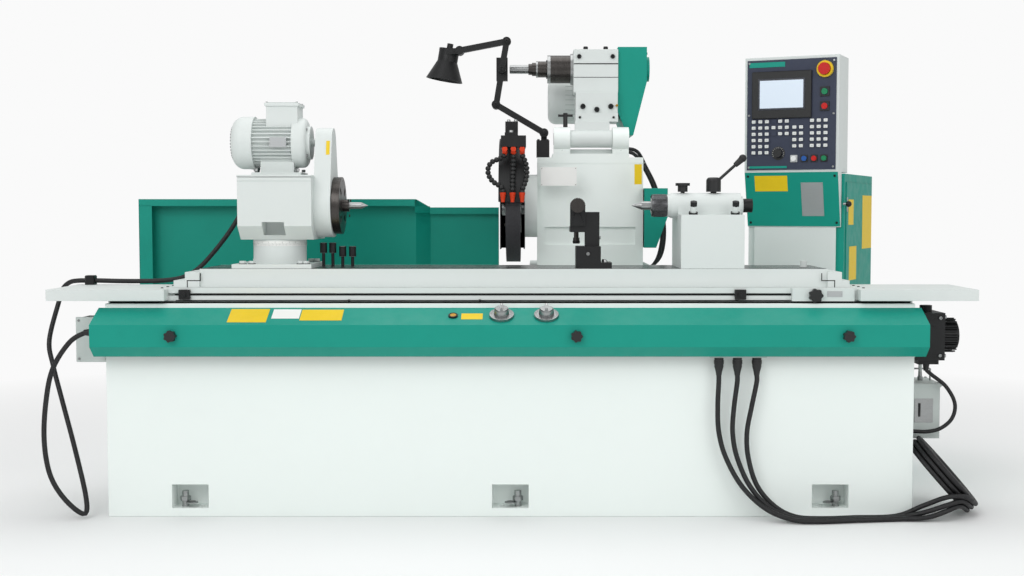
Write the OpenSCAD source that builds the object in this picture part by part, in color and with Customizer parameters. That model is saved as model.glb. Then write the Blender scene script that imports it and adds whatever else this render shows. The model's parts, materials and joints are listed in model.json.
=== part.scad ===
// Cylindrical grinder with workhead, tailstock, swivel table, steady rest and internal grinding
// attachment. Millimetres. X runs along the work axis to the right, Y away from the operator with
// zero on the work axis, and Z up from the floor.

/* [Overall] */
// Height of the work axis above the floor
axis_h = 1005; // [980:5:1030]
// Height of the work axis above the swivel table
centre_h = 205; // [195:1:215]
// From the front of the bed to the work axis
front_d = 200; // [195:1:210]

/* [Bed] */
// Length of the bed
bed_l = 2600; // [2560:10:2640]
// Height of the bed without its ways
bed_h = 690; // [670:1:692]
// Depth of the front bed
bed_d = 560; // [545:5:575]
// Thickness of the bed walls
bed_wall = 30; // [20:1:40]
// Thickness of the bed deck
bed_deck = 45; // [30:1:60]
// Length of the rear bed under the wheelhead
rear_l = 760; // [720:10:800]
// Depth of the rear bed behind the front one
rear_d = 840; // [800:10:900]
// Middle of the rear bed and the wheelhead
rear_x = 260; // [255:1:265]
// Height of the ways above the bed
way_h = 7; // [5:1:8]
// Diameter of the levelling screws
level_d = 22; // [18:1:26]
// Diameter of the anchor bolt holes
anchor_d = 22; // [18:1:26]
// Distance from the middle levelling pocket to the outer ones
pocket_gap = 1035; // [1000:5:1060]
// Width of a levelling pocket
pocket_w = 118; // [110:1:130]
// Height of a levelling pocket
pocket_h = 77; // [70:1:90]

/* [Apron] */
// Length of the apron cover
apron_l = 2640; // [2620:5:2660]
// How far the apron stands out from the bed
apron_out = 100; // [90:1:110]
// Height of the front facet of the apron
apron_face = 70; // [60:1:80]
// Thickness of the apron sheet
apron_t = 3; // [2:0.5:4]
// Diameter of the base ring of a control knob
dial_d = 78; // [70:1:84]
// Diameter of a control knob
dial_knob_d = 47; // [40:1:54]

/* [Table] */
// Length of the lower table
table_l = 2225; // [2205:5:2245]
// Half depth of the lower table
table_half = 170; // [165:1:175]
// Length of the swivel table
swivel_l = 2038; // [2018:2:2058]
// Depth of the swivel table
swivel_d = 300; // [280:1:310]
// Thickness of the swivel table
swivel_t = 60; // [55:1:62]
// Diameter of the swivel pivot pin
pivot_d = 50; // [40:1:60]
// Length of a wing
wing_l = 378; // [360:2:400]
// Depth of a wing
wing_d = 320; // [300:5:340]
// Diameter of the table screw
screw_d = 32; // [25:1:36]

/* [Workhead] */
// Place of the workhead swivel axis
head_x = -773; // [-780:1:-765]
// Width of the workhead casting
head_w = 240; // [230:1:250]
// Depth of the workhead casting
head_d = 280; // [270:1:290]
// Diameter of the graduated base
drum_d = 175; // [160:1:190]
// Diameter of the faceplate
plate_d = 190; // [170:1:200]
// Diameter of the work spindle
work_spindle_d = 70; // [60:1:80]
// Diameter of the work centre
work_centre_d = 22; // [18:1:26]
// Diameter of the workhead motor
head_motor_d = 160; // [150:1:165]
// Height of the workhead motor above the work axis
head_motor_h = 208; // [204:1:214]

/* [Tailstock] */
// Left side of the tailstock casting
tail_x = 554; // [552:1:560]
// Length of the tailstock casting
tail_l = 206; // [200:1:215]
// Diameter of the tailstock barrel
barrel_d = 84; // [78:1:90]
// Diameter of the quill
quill_d = 50; // [44:1:56]
// Diameter of the tail centre
tail_centre_d = 29; // [24:1:32]
// Diameter of the retract lever shaft
lever_shaft_d = 20; // [16:1:24]

/* [Wheelhead] */
// From the work axis to the wheel axis
wheel_y = 335; // [333:1:340]
// Diameter of the grinding wheel
wheel_d = 400; // [380:2:402]
// Width of the grinding wheel
wheel_w = 50; // [40:1:52]
// Bore of the grinding wheel
wheel_bore = 127; // [120:1:130]
// Diameter of the wheel spindle
spindle_d = 60; // [50:1:70]
// Width of the wheelhead housing
house_w = 377; // [370:1:384]
// Depth of the wheelhead housing
house_d = 520; // [500:5:560]
// Height of the wheelhead housing above the work axis
house_up = 172; // [168:1:174]
// Radius of the wheel guard
guard_r = 229; // [227:1:231]

/* [Internal grinding attachment] */
// Height of the swing hinge above the work axis
hinge_h = 238; // [234:1:242]
// From the work axis to the swing hinge
hinge_y = 320; // [316:1:324]
// Diameter of the hinge pin
hinge_pin_d = 30; // [24:1:34]
// Diameter of the spindle cartridge
cartridge_d = 100; // [94:1:104]
// Diameter of the internal grinding quill
bore_quill_d = 31; // [24:1:34]
// Diameter of the attachment motor
swing_motor_d = 170; // [160:1:174]

/* [Lamp] */
// Width of the square lamp arms
lamp_arm_w = 21; // [16:1:24]
// Diameter of the open end of the lamp shade
shade_d = 132; // [120:1:140]

/* [Control panel] */
// Turn of the control cabinet towards the operator
panel_turn = 25; // [22:1:28]
// Width of the control case
case_w = 345; // [335:1:355]
// Depth of the control case
case_d = 150; // [140:1:160]
// Width of the front panel
panel_w = 326; // [316:1:330]
// Height of the front panel
panel_h = 398; // [390:1:402]
// Diameter of the emergency stop ring
stop_ring_d = 60; // [54:1:64]
// Diameter of a push button
button_d = 22; // [18:1:24]

/* [Cables] */
// Diameter of the power cables and the workhead cable
cable_d = 16; // [12:1:16]
// Diameter of the table motor cable
motor_cable_d = 13; // [10:1:14]
// Turns in each coil of power cable
coil_turns = 4; // [2:1:4]

/* [Hidden] */
$fn = 48;

// Clearances and the overrun of cuts
run_gap = 0.05;
slide_gap = 0.5;
over = 1;

// Colours
casting = [0.90, 0.93, 0.92];
green = [0.15, 0.60, 0.52];
black = [0.08, 0.08, 0.08];
steel = [0.55, 0.55, 0.56];
dark_steel = [0.22, 0.21, 0.21];
navy = [0.22, 0.25, 0.33];
red = [0.80, 0.12, 0.10];

// Main levels and faces
way_top = bed_h + way_h;
table_z = way_top + slide_gap;
table_top = axis_h - centre_h;
swivel_z = table_top - swivel_t;
lower_top = swivel_z - slide_gap;
bed_back = bed_d - front_d;
rear_back = bed_back + rear_d;

// Block between a low and a high value on each axis
module block(x, y, z)
  translate([x[0], y[0], z[0]])
  cube([x[1] - x[0], y[1] - y[0], z[1] - z[0]]);

// Rods along an axis, between two values and at a point of the other two axes
module rod_x(d, x, at)
  translate([x[0], at[0], at[1]])
  rotate([0, 90, 0])
  cylinder(d = d, h = x[1] - x[0]);

module rod_y(d, y, at)
  translate([at[0], y[1], at[1]])
  rotate([90, 0, 0])
  cylinder(d = d, h = y[1] - y[0]);

module rod_z(d, z, at)
  translate([at[0], at[1], z[0]])
  cylinder(d = d, h = z[1] - z[0]);

// Cone along X from diameter d[0] to d[1]
module cone_x(d, x, at)
  translate([x[0], at[0], at[1]])
  rotate([0, 90, 0])
  cylinder(d1 = d[0], d2 = d[1], h = x[1] - x[0]);

// Outlines drawn in YZ, XZ and XY, given a thickness along the third axis
module slab_x(x)
  translate([x[0], 0, 0])
  rotate([90, 0, 90])
  linear_extrude(x[1] - x[0])
  children();

module slab_y(y)
  translate([0, y[1], 0])
  rotate([90, 0, 0])
  linear_extrude(y[1] - y[0])
  children();

module slab_z(z)
  translate([0, 0, z[0]])
  linear_extrude(z[1] - z[0])
  children();

// Rectangle from corner a to corner b with round corners
module round_rect(a, b, r) {
  translate([a[0] + r, a[1]])
    square([b[0] - a[0] - 2 * r, b[1] - a[1]]);
  translate([a[0], a[1] + r])
    square([b[0] - a[0], b[1] - a[1] - 2 * r]);
  for (x = [a[0] + r, b[0] - r], y = [a[1] + r, b[1] - r])
    translate([x, y])
      circle(r);
}

// Two circles above each other with their common tangents, as one outline
module pear(r_low, r_high, gap) {
  s = asin((r_low - r_high) / gap);
  polygon(concat(
    [for (k = [0:32]) let (a = 180 - s + (180 + 2 * s) * k / 32) r_low * [cos(a), sin(a)]],
    [for (k = [0:20]) let (a = s + (180 - 2 * s) * k / 20) [0, gap] + r_high * [cos(a), sin(a)]]
  ));
}

// Grip of diameter d and thickness h along Z, with rounded lobes
grip_lobes = 7;
grip_depth_share = 0.09;
module star_grip(d, h)
  linear_extrude(h)
  polygon([
    for (a = [0:5:355])
      d * (0.5 - grip_depth_share * (1 - cos(grip_lobes * a)) / 2) * [cos(a), sin(a)]
  ]);

// Hexagon head, across flats w, along Z
module hex(w, h)
  cylinder(d = w / cos(30), h = h, $fn = 6);

// Smooth line through points p, with n steps between two of them
function mixed(a, b, c, d, t) =
  (2 * b + (c - a) * t + (2 * a - 5 * b + 4 * c - d) * t * t
  + (3 * b - a - 3 * c + d) * t * t * t) / 2;
function route(p, n) = [
  for (i = [0:len(p) - 2], k = [0:n - 1])
    mixed(p[max(i - 1, 0)], p[i], p[i + 1], p[min(i + 2, len(p) - 1)], k / n),
  p[len(p) - 1]
];
function unit(v) = v / norm(v);
function heading(p, i) = unit(p[min(i + 1, len(p) - 1)] - p[max(i - 1, 0)]);
function carried(v, t) = unit(v - (v * t) * t);
function normals(p, v, i = 0) =
  i == len(p) ? [] : let (m = carried(v, heading(p, i))) concat([m], normals(p, m, i + 1));

// Tube along points p, with diameter d[i] at point i, starting its seam in direction v
module tube(p, d, v, sides = 8) {
  n = normals(p, v);
  last = len(p) - 1;
  rings = [
    for (i = [0:last], k = [0:sides - 1])
      let (a = 360 * k / sides, w = cross(heading(p, i), n[i]))
      p[i] + d[i] / 2 * (cos(a) * n[i] + sin(a) * w)
  ];
  walls = [
    for (i = [0:last - 1], k = [0:sides - 1])
      let (a = i * sides + k, b = i * sides + (k + 1) % sides)
      each [[a, a + sides, b], [b, a + sides, b + sides]]
  ];
  caps = [
    for (k = [1:sides - 2])
      each [[0, k, k + 1], [last * sides, last * sides + k + 1, last * sides + k]]
  ];
  polyhedron(rings, concat(walls, caps));
}

function even(p, d) = [for (i = p) d];

// Bed
way_over = 5;
way_front = -150;
way_back = 330;
bed_cells = 4;
pocket_z = 27;
pocket_depth = 70;
pocket_wall = 20;
level_off = 24;
anchor_off = -30;
slot_w = 80;
slot_l = 1120;
rail_w = 90;
rail_gap = 270;
rail_end = 10;

// Table drive
screw_y = -60;
screw_z = 577;
screw_ends = [-1299.5, 1330];
nut_l = 110;
nut_d = 62;

function pocket_x(i) = i * pocket_gap;
function pocket_side(i) = i < 0 ? -1 : 1;

// Pockets open towards s on the face at y
module pockets_at(y, s, grow)
  for (i = s < 0 ? [-1, 0, 1] : [-1, 1])
    block(
      [pocket_x(i) - pocket_w / 2 - grow, pocket_x(i) + pocket_w / 2 + grow],
      s < 0 ? [y - over * (grow > 0 ? 0 : 1), y + pocket_depth + grow]
         : [y - pocket_depth - grow, y + over * (grow > 0 ? 0 : 1)],
      [grow > 0 ? 0 : pocket_z, pocket_z + pocket_h + grow]
    );

module rear_pocket(grow)
  block(
    [rear_x - pocket_w / 2 - grow, rear_x + pocket_w / 2 + grow],
    [rear_back - pocket_depth - grow, rear_back + over * (grow > 0 ? 0 : 1)],
    [grow > 0 ? 0 : pocket_z, pocket_z + pocket_h + grow]
  );

pocket_mid_y = [-front_d + pocket_depth / 2, bed_back - pocket_depth / 2, rear_back - pocket_depth / 2];

module at_pockets(off) {
  for (i = [-1:1])
    translate([pocket_x(i) + pocket_side(i) * off, pocket_mid_y[0], 0])
      children();
  for (i = [-1, 1])
    translate([pocket_x(i) + pocket_side(i) * off, pocket_mid_y[1], 0])
      children();
  translate([rear_x + off, pocket_mid_y[2], 0])
    children();
}

module bed_casting()
  color(casting)
  difference() {
    union() {
      difference() {
        union() {
          block([-bed_l / 2, bed_l / 2], [-front_d, bed_back], [0, bed_h]);
          block(
            [rear_x - rear_l / 2, rear_x + rear_l / 2],
            [bed_back - bed_wall, rear_back], [0, bed_h]
          );
        }
        bed_cavities();
      }
      block([-bed_l / 2 - way_over, bed_l / 2 + way_over], [way_front, way_back],
        [bed_h - way_h, way_top]);
      for (s = [-1, 1])
        block(
          [rear_x + s * rail_gap / 2 - rail_w / 2, rear_x + s * rail_gap / 2 + rail_w / 2],
          [way_back, rear_back - rail_end], [bed_h - way_h, way_top]
        );
      pockets_at(-front_d, -1, pocket_wall);
      pockets_at(bed_back, 1, pocket_wall);
      rear_pocket(pocket_wall);
    }
    pockets_at(-front_d, -1, 0);
    pockets_at(bed_back, 1, 0);
    rear_pocket(0);
    at_pockets(level_off)
      rod_z(level_d + 2 * run_gap, [-over, pocket_z + over], [0, 0]);
    at_pockets(anchor_off)
      rod_z(anchor_d, [-over, pocket_z + over], [0, 0]);
    block([-slot_l / 2, slot_l / 2], [screw_y - slot_w / 2, screw_y + slot_w / 2],
      [screw_z - slot_w / 2, way_top + over]);
    rod_x(screw_d + 2 * run_gap, [-bed_l / 2 - over, bed_l / 2 + over], [screw_y, screw_z]);
  }

module bed_cavities() {
  cell = (bed_l - bed_wall) / bed_cells;
  for (i = [0:bed_cells - 1])
    block(
      [-bed_l / 2 + bed_wall + i * cell, -bed_l / 2 + (i + 1) * cell],
      [-front_d + bed_wall, bed_back - bed_wall], [-over, bed_h - bed_deck]
    );
  block(
    [rear_x - rear_l / 2 + bed_wall, rear_x + rear_l / 2 - bed_wall],
    [bed_back, rear_back - bed_wall], [-over, bed_h - bed_deck]
  );
}

level_head_w = 30;
level_head_z = 46;
level_head_h = 14;
level_top = 78;

module levelling_screws()
  color(steel)
  at_pockets(level_off) {
    rod_z(level_d, [0, level_top], [0, 0]);
    translate([0, 0, level_head_z])
      hex(level_head_w, level_head_h);
  }

// Apron, outline in YZ from the bed outwards
apron_top = 677;
apron_fold = 630;
apron_low = 526;
apron_low_out = 60;
facet_mid = [-front_d - apron_out / 2, (apron_top + apron_fold) / 2];
facet_tilt = atan2(apron_top - apron_fold, apron_out);

module apron_outline(t)
  polygon([
    [-front_d, apron_top - t], [-front_d - apron_out + t, apron_fold - t],
    [-front_d - apron_out + t, apron_fold - apron_face + t],
    [-front_d - apron_low_out + t, apron_low + t], [-front_d - apron_low_out + t, apron_low - over],
    [-front_d, apron_low - over]
  ]);

module apron_cover()
  color(green)
  difference() {
    slab_x([-apron_l / 2, apron_l / 2])
      intersection() {
        apron_outline(0);
        translate([-front_d - apron_out, apron_low])
          square([apron_out, apron_top - apron_low]);
      }
    slab_x([-apron_l / 2 + apron_t, apron_l / 2 - apron_t])
      apron_outline(apron_t);
    for (x = dial_x)
      on_facet(x)
        cylinder(d = dial_shaft_d + 2 * run_gap, h = dial_depth, center = true);
    on_facet(sight_x)
      cylinder(d = sight_d, h = dial_depth, center = true);
    for (x = star_x)
      rod_y(star_shaft_d, [-front_d - apron_out - over, -front_d - apron_out + apron_t + over],
        [x, star_z]);
  }

// Children with their Z axis square to the top facet of the apron
module on_facet(x)
  translate([x, facet_mid[0], facet_mid[1]])
  rotate([90 - (90 - facet_tilt), 0, 0])
  children();

dial_x = [-26, 116];
dial_shaft_d = 16;
dial_depth = 40;
dial_ring_h = 8;
dial_knob_h = 22;
dial_pointer = [8, 34, 8];
sight_x = -180;
sight_d = 24;
sight_ring_d = 30;
sight_h = 5;
star_x = [-1063, 211, 1064];
star_z = 595;
star_d = 38;
star_h = 22;
star_shaft_d = 10;
nipple_x = [-520, -98];
nipple_d = 8;
nipple_h = 12;

module dial_knob(x)
  on_facet(x) {
    translate([0, 0, slide_gap])
      cylinder(d = dial_d, h = dial_ring_h - slide_gap);
    cylinder(d = dial_shaft_d, h = dial_depth, center = true);
    translate([0, 0, dial_ring_h])
      difference() {
        cylinder(d1 = dial_knob_d, d2 = dial_knob_d - dial_ring_h, h = dial_knob_h);
        translate([0, dial_knob_d / 4, dial_knob_h])
          cube([dial_pointer[0] / 2, dial_knob_d / 2, dial_pointer[2] / 2], center = true);
      }
    translate([-dial_pointer[0] / 2, -dial_pointer[1] / 2, dial_ring_h + dial_knob_h])
      cube(dial_pointer);
  }

module traverse_knob()
  color(steel)
  dial_knob(dial_x[0]);

module dwell_knob()
  color(steel)
  dial_knob(dial_x[1]);

module apron_fittings()
  color(black) {
    for (x = star_x)
      translate([x, -front_d - apron_out, star_z])
        rotate([90, 0, 0]) {
          star_grip(star_d, star_h);
          translate([0, 0, -star_h])
            cylinder(d = star_shaft_d, h = star_h);
        }
    on_facet(sight_x) {
      cylinder(d = sight_ring_d, h = sight_h);
      translate([0, 0, -sight_h])
        cylinder(d = sight_d, h = sight_h);
    }
    for (x = nipple_x)
      rod_z(nipple_d, [bed_h, bed_h + nipple_h], [x, (way_front - front_d) / 2]);
  }

// Junction box on the left end, lubricator on the right end, cable glands under the apron
box_size = [100, 120, 138];
box_at = [-170, 503];
tank_x = [1300, 1435];
tank_y = [-30, 130];
tank_z = [226, 403];
tank_lid_h = 6;
tank_pipe_d = 12;
tank_pipe_top = 470;
gland_d = 28;
gland_x = [667, 726, 788];
gland_y = -232;
gland_z = [492, 521];
gland_bar = [30, 6];
clip_w = 30;
clip_h = 28;
clip_gap = 1;

module service_fittings()
  color(casting) {
    block([-bed_l / 2 - box_size[0], -bed_l / 2], [box_at[0], box_at[0] + box_size[1]],
      [box_at[1], box_at[1] + box_size[2]]);
    block(tank_x, tank_y, tank_z);
    block([tank_x[0], tank_x[1] + tank_lid_h], [tank_y[0] - tank_lid_h, tank_y[1] + tank_lid_h],
      [tank_z[1], tank_z[1] + tank_lid_h]);
    for (s = [1, 2])
      rod_z(tank_pipe_d, [tank_z[1] + tank_lid_h, tank_pipe_top],
        [tank_x[0] + s * (tank_x[1] - tank_x[0]) / 3, (tank_y[0] + tank_y[1]) / 2]);
    block([gland_x[0] - gland_bar[0], gland_x[2] + gland_bar[0]],
      [gland_y - gland_d / 2, -front_d], [gland_z[1], gland_z[1] + gland_bar[1]]);
    for (x = gland_x)
      rod_z(gland_d, gland_z, [x, gland_y]);
  }

// Splash guard behind the table, left of the wheel
splash_x = [-1370, -360, -310, -55];
splash_y = 480;
splash_back = 50;
splash_top = 1030;
splash_low_top = 1000;
splash_rim = 50;
splash_t = 3;
splash_foot = 340;

module splash_guard()
  color(green) {
    difference() {
      slab_z([bed_h, splash_top])
        polygon([
          [splash_x[0], splash_y - splash_rim], [splash_x[0], splash_y],
          [splash_x[1], splash_y], [splash_x[2], splash_y + splash_back],
          [splash_x[3], splash_y + splash_back],
          [splash_x[3], splash_y + splash_back - splash_rim / 2],
          [splash_x[2], splash_y + splash_back - splash_rim / 2],
          [splash_x[1], splash_y - splash_rim]
        ]);
      slab_z([bed_h - over, splash_top - splash_t])
        polygon([
          [splash_x[0] + splash_t, splash_y - splash_rim - over],
          [splash_x[0] + splash_t, splash_y - splash_t],
          [splash_x[1], splash_y - splash_t],
          [splash_x[2], splash_y + splash_back - splash_t],
          [splash_x[3] + over, splash_y + splash_back - splash_t],
          [splash_x[3] + over, splash_y - splash_rim - over]
        ]);
      slab_y([splash_y - splash_rim - over, splash_y + splash_back + over])
        polygon([
          [splash_x[1], splash_top + over], [splash_x[2], splash_low_top],
          [splash_x[3] + over, splash_low_top], [splash_x[3] + over, splash_top + over]
        ]);
    }
    block([-bed_l / 2, rear_x - rear_l / 2], [splash_foot, splash_y - splash_t],
      [bed_h, bed_h + splash_t]);
  }

// Control cabinet, turned towards the operator. Its own frame has U along the front and V to the back
cabinet_at = [1155, 330];
cabinet_u = [-335, 20];
cabinet_v = [60, 560];
cabinet_top = 1122;
cabinet_t = 4;
column_u = [-310, -6];
column_z = [700, 928];

module turned()
  translate([cabinet_at[0], cabinet_at[1], 0])
  rotate([0, 0, -panel_turn])
  children();

// Cable duct from the cabinet to the bed
duct_x = [1120, 1190];
duct_y = 400;
duct_z = [90, 190];

module control_cabinet() {
  color(green)
  turned() {
    difference() {
      block(cabinet_u, cabinet_v, [0, cabinet_top]);
      block([cabinet_u[0] + cabinet_t, cabinet_u[1] - cabinet_t],
        [cabinet_v[0] + cabinet_t, cabinet_v[1] - cabinet_t],
        [cabinet_t, cabinet_top - cabinet_t]);
    }
    block(column_u, [case_drop, cabinet_v[0]], column_z);
  }
  color(green)
  block(duct_x, [bed_back, duct_y], duct_z);
}

// Control case on the column. Its front leans back below the panel
case_z = [928.3, 1545];
case_drop = 50;
case_fold = 1130;
case_wall = 4;
case_off = 10;
case_mid = [-case_w / 2 + case_off, case_d / 2];

module control_case()
  color(casting)
  turned() {
    difference() {
      slab_x([case_mid[0] - case_w / 2, case_mid[0] + case_w / 2])
        polygon([
          [0, case_fold], [0, case_z[1]], [case_d, case_z[1]], [case_d, case_top_back],
          [cabinet_v[0] - case_gap, case_top_back], [cabinet_v[0] - case_gap, case_z[0]],
          [case_drop, case_z[0]]
        ]);
      block(
        [case_mid[0] - case_w / 2 + case_wall, case_mid[0] + case_w / 2 - case_wall],
        [panel_t + case_wall, case_d - case_wall],
        [case_top_back + case_wall, case_z[1] - case_wall]
      );
      block([panel_u[0], panel_u[1]], [-over, panel_t + case_wall + over],
        [panel_z[0] + case_wall, panel_z[1] - case_wall]);
    }
  }

case_gap = 2;
case_top_back = 1126;
panel_t = 4;
panel_low = 1136;
panel_z = [panel_low, panel_low + panel_h];
panel_u = [case_mid[0] - panel_w / 2 + case_wall, case_mid[0] + panel_w / 2 - case_wall];
key = [17, 3, 14];
key_step = [23.5, 22.5];
screen_u = [-306, -86];
screen_z = [1322, 1492];
screen_t = 6;

// Keys in columns and rows from the lower left one
module keys(u, z, columns, rows)
  for (i = [0:columns - 1], j = [0:rows - 1])
    translate([u + i * key_step[0], -panel_t - key[1], z + j * key_step[1]])
      cube(key);

keys_left = [-303, 1192];
keys_arrow = [-232, 1260];
keys_mid = [-164, 1215];
keys_right = [-96, 1215];

module control_panel()
  color(navy)
  turned()
  difference() {
    union() {
      block([case_mid[0] - panel_w / 2, case_mid[0] + panel_w / 2], [-panel_t, 0], panel_z);
      block(screen_u, [-panel_t - screen_t, -panel_t], screen_z);
      keys(keys_left[0], keys_left[1], 3, 6);
      keys(keys_arrow[0], keys_arrow[1], 3, 3);
      keys(keys_mid[0], keys_mid[1], 2, 4);
      keys(keys_right[0], keys_right[1], 3, 5);
      panel_rod(stop_ring_d, [-panel_t - stop_ring_h + slide_gap, -panel_t], stop_at);
      for (at = [start_at, off_at])
        block([at[0] - bezel_w / 2, at[0] + bezel_w / 2],
          [-panel_t - button_gap + slide_gap, -panel_t],
          [at[1] - bezel_w / 2, at[1] + bezel_w / 2]);
    }
    for (at = [stop_at, start_at, off_at])
      panel_rod(button_d - 2 * button_step + 2 * run_gap, [-over - panel_t, over], at);
    panel_rod(stop_cap_d + 2 * slide_gap, [-over - panel_t - stop_ring_h, -panel_t], stop_at);
    for (at = [start_at, off_at])
      panel_rod(button_d + 2 * slide_gap, [-over - panel_t - button_gap, -panel_t], at);
    panel_rod(switch_shaft_d + 2 * run_gap, [-over - panel_t, over], switch_at);
  }

stop_at = [-40, 1494];
start_at = [-40, 1414];
off_at = [-40, 1362];
switch_at = [-208, 1196];
button_step = 3;
button_out = 9;
button_in = 24;
stop_cap_d = 42;
stop_cap_h = 14;
stop_ring_h = 9;
switch_d = 30;
switch_h = 16;
switch_shaft_d = 10;

// Rod square to the panel, from v[0] to v[1]
module panel_rod(d, v, at)
  rod_y(d, v, at);

module push_button(at)
  turned() {
    panel_rod(button_d, [-panel_t - button_out, -panel_t - button_gap], at);
    panel_rod(button_d - 2 * button_step, [-panel_t - button_gap, button_in], at);
  }

button_gap = 4;
bezel_w = 34;

module start_button()
  color(green)
  push_button(start_at);

module off_button()
  color(red)
  push_button(off_at);

module stop_button()
  color(red)
  turned() {
    panel_rod(stop_cap_d, [-panel_t - stop_ring_h - stop_cap_h, -panel_t - stop_ring_h], stop_at);
    panel_rod(button_d - 2 * button_step, [-panel_t - stop_ring_h, button_in], stop_at);
  }

module rotary_switch()
  color(black)
  turned() {
    panel_rod(switch_d, [-panel_t - switch_h, -panel_t - slide_gap], switch_at);
    panel_rod(switch_shaft_d, [-panel_t - slide_gap, button_in], switch_at);
  }

// Table motor with gear housing on the right end of the bed
motor_case_x = [1300, 1417];
motor_case_y = [-135, 15];
motor_case_z = [500, 655];
motor_cap = [40, 1374];
motor_cap_top = 676;
motor_low_x = [1340, 1408];
motor_low_z = 483;
motor_d = 100;
motor_end_x = 1471;
fin_n = 18;
fin_t = 5;
fin_h = 8;

// Round body with straight fins along X
module finned_x(d, x, at, fins, w, h)
  translate([x[0], at[0], at[1]])
  rotate([0, 90, 0])
  linear_extrude(x[1] - x[0])
  union() {
    circle(d = d - 2 * h);
    for (i = [0:fins - 1])
      rotate(360 * i / fins)
        translate([0, -w / 2])
          square([d / 2, w]);
  }

module table_motor()
  color(black)
  difference() {
    union() {
      block(motor_case_x, motor_case_y, motor_case_z);
      rod_z(motor_cap[0], [motor_case_z[1], motor_cap_top], [motor_cap[1], screw_y]);
      block(motor_low_x, [screw_y - slot_w / 2, screw_y + slot_w / 2],
        [motor_low_z, motor_case_z[0]]);
      finned_x(motor_d, [motor_case_x[1], motor_end_x], [screw_y, screw_z], fin_n, fin_t, fin_h);
    }
    rod_x(screw_d + 2 * slide_gap, [motor_case_x[0] - over, screw_ends[1] + over],
      [screw_y, screw_z]);
  }

module table_screw()
  color(steel)
  rod_x(screw_d, screw_ends, [screw_y, screw_z]);

// Lower table with its nut
table_off = 7.5;
table_x = [table_off - table_l / 2, table_off + table_l / 2];
groove_z = 718;
groove_w = 8;
groove_in = [6, 14, 14];
groove_end = 907;
nut_arm_w = 40;
adjust_x = [907, 1107];
adjust_y = -190;
adjust_at = [981, 716];
adjust_d = 46;
adjust_h = 18;
adjust_shaft_d = 16;
adjust_shaft_l = 40;

module lower_table()
  color(casting)
  difference() {
    union() {
      block(table_x, [-table_half, table_half], [table_z, lower_top]);
      block(adjust_x, [adjust_y, -table_half], [table_z, lower_top]);
      rod_z(pivot_d, [lower_top, lower_top + swivel_t / 2], [0, 0]);
      block([-nut_arm_w / 2, nut_arm_w / 2], [screw_y - nut_arm_w / 2, screw_y + nut_arm_w / 2],
        [screw_z, table_z]);
      rod_x(nut_d, [-nut_l / 2, nut_l / 2], [screw_y, screw_z]);
    }
    block([table_x[0] - over, groove_end], [-table_half - over, -table_half + groove_in[0]],
      [groove_z - groove_w / 2, groove_z + groove_w / 2]);
    block([table_x[0] - over, groove_end],
      [-table_half + groove_in[0], -table_half + groove_in[1]],
      [groove_z - groove_in[2] / 2, groove_z + groove_in[2] / 2]);
    rod_x(screw_d + 2 * run_gap, [-nut_l, nut_l], [screw_y, screw_z]);
    rod_y(adjust_shaft_d + 2 * run_gap, [adjust_y - over, adjust_y + adjust_shaft_l], adjust_at);
  }

module swivel_adjuster()
  color(black)
  translate([adjust_at[0], adjust_y - slide_gap, adjust_at[1]])
  rotate([90, 0, 0]) {
    star_grip(adjust_d, adjust_h);
    translate([0, 0, -adjust_shaft_l])
      cylinder(d = adjust_shaft_d, h = adjust_shaft_l);
  }

// Sheet wings on the table ends
wing_front = -220;
wing_top = 736;
wing_skirt = 700;
wing_t = 3;

module wing(x)
  difference() {
    block(x, [wing_front, wing_front + wing_d], [wing_skirt, wing_top]);
    block([x[0] + wing_t, x[1] - wing_t], [wing_front + wing_t, wing_front + wing_d - wing_t],
      [wing_skirt - over, wing_top - wing_t]);
  }

wing_clip_x = -1436;
wing_cable_y = 80;

module table_wings()
  color(casting) {
    wing([table_x[0] - wing_l, table_x[0]]);
    wing([table_x[1], table_x[1] + wing_l]);
    cable_clip([wing_clip_x, wing_cable_y, wing_top]);
  }

// Block with a hole for the cable along X, standing at a point
module cable_clip(at)
  difference() {
    block([at[0] - clip_w / 2, at[0] + clip_w / 2], [at[1] - clip_w / 2, at[1] + clip_w / 2],
      [at[2], at[2] + clip_h]);
    rod_x(cable_d + 2 * clip_gap, [at[0] - clip_w, at[0] + clip_w], [at[1], at[2] + clip_h / 2]);
  }

dog_x = [-1050, 742];
dog_size = [36, 14, 32];
dog_bolt_w = 13;
dog_bolt_h = 8;

module trip_dogs()
  color(black)
  for (x = dog_x) {
    block([x - dog_size[0] / 2, x + dog_size[0] / 2], [-table_half - dog_size[1], -table_half],
      [groove_z - dog_size[2] / 2, groove_z + dog_size[2] / 2]);
    translate([x, -table_half - dog_size[1], groove_z])
      rotate([90, 0, 0])
        hex(dog_bolt_w, dog_bolt_h);
    block([x - dog_bolt_w / 2, x + dog_bolt_w / 2], [-table_half, -table_half + groove_in[0]],
      [groove_z - groove_w / 2, groove_z + groove_w / 2]);
  }

// Swivel table with one T-slot under the work axis
swivel_off = 10;
swivel_x = [swivel_off - swivel_l / 2, swivel_off + swivel_l / 2];
swivel_front = -140;
slot_top_w = 14;
slot_top_h = 14;
slot_low_w = 24;
slot_low_h = 10;

module swivel_table()
  color(casting)
  difference() {
    block(swivel_x, [swivel_front, swivel_front + swivel_d], [swivel_z, table_top]);
    block([swivel_x[0] - over, swivel_x[1] + over], [-slot_top_w / 2, slot_top_w / 2],
      [table_top - slot_top_h, table_top + over]);
    block([swivel_x[0] - over, swivel_x[1] + over], [-slot_low_w / 2, slot_low_w / 2],
      [table_top - slot_top_h - slot_low_h, table_top - slot_top_h]);
    rod_z(pivot_d + 2 * run_gap, [swivel_z - over, swivel_z + swivel_t / 2 + over], [0, 0]);
  }

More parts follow.
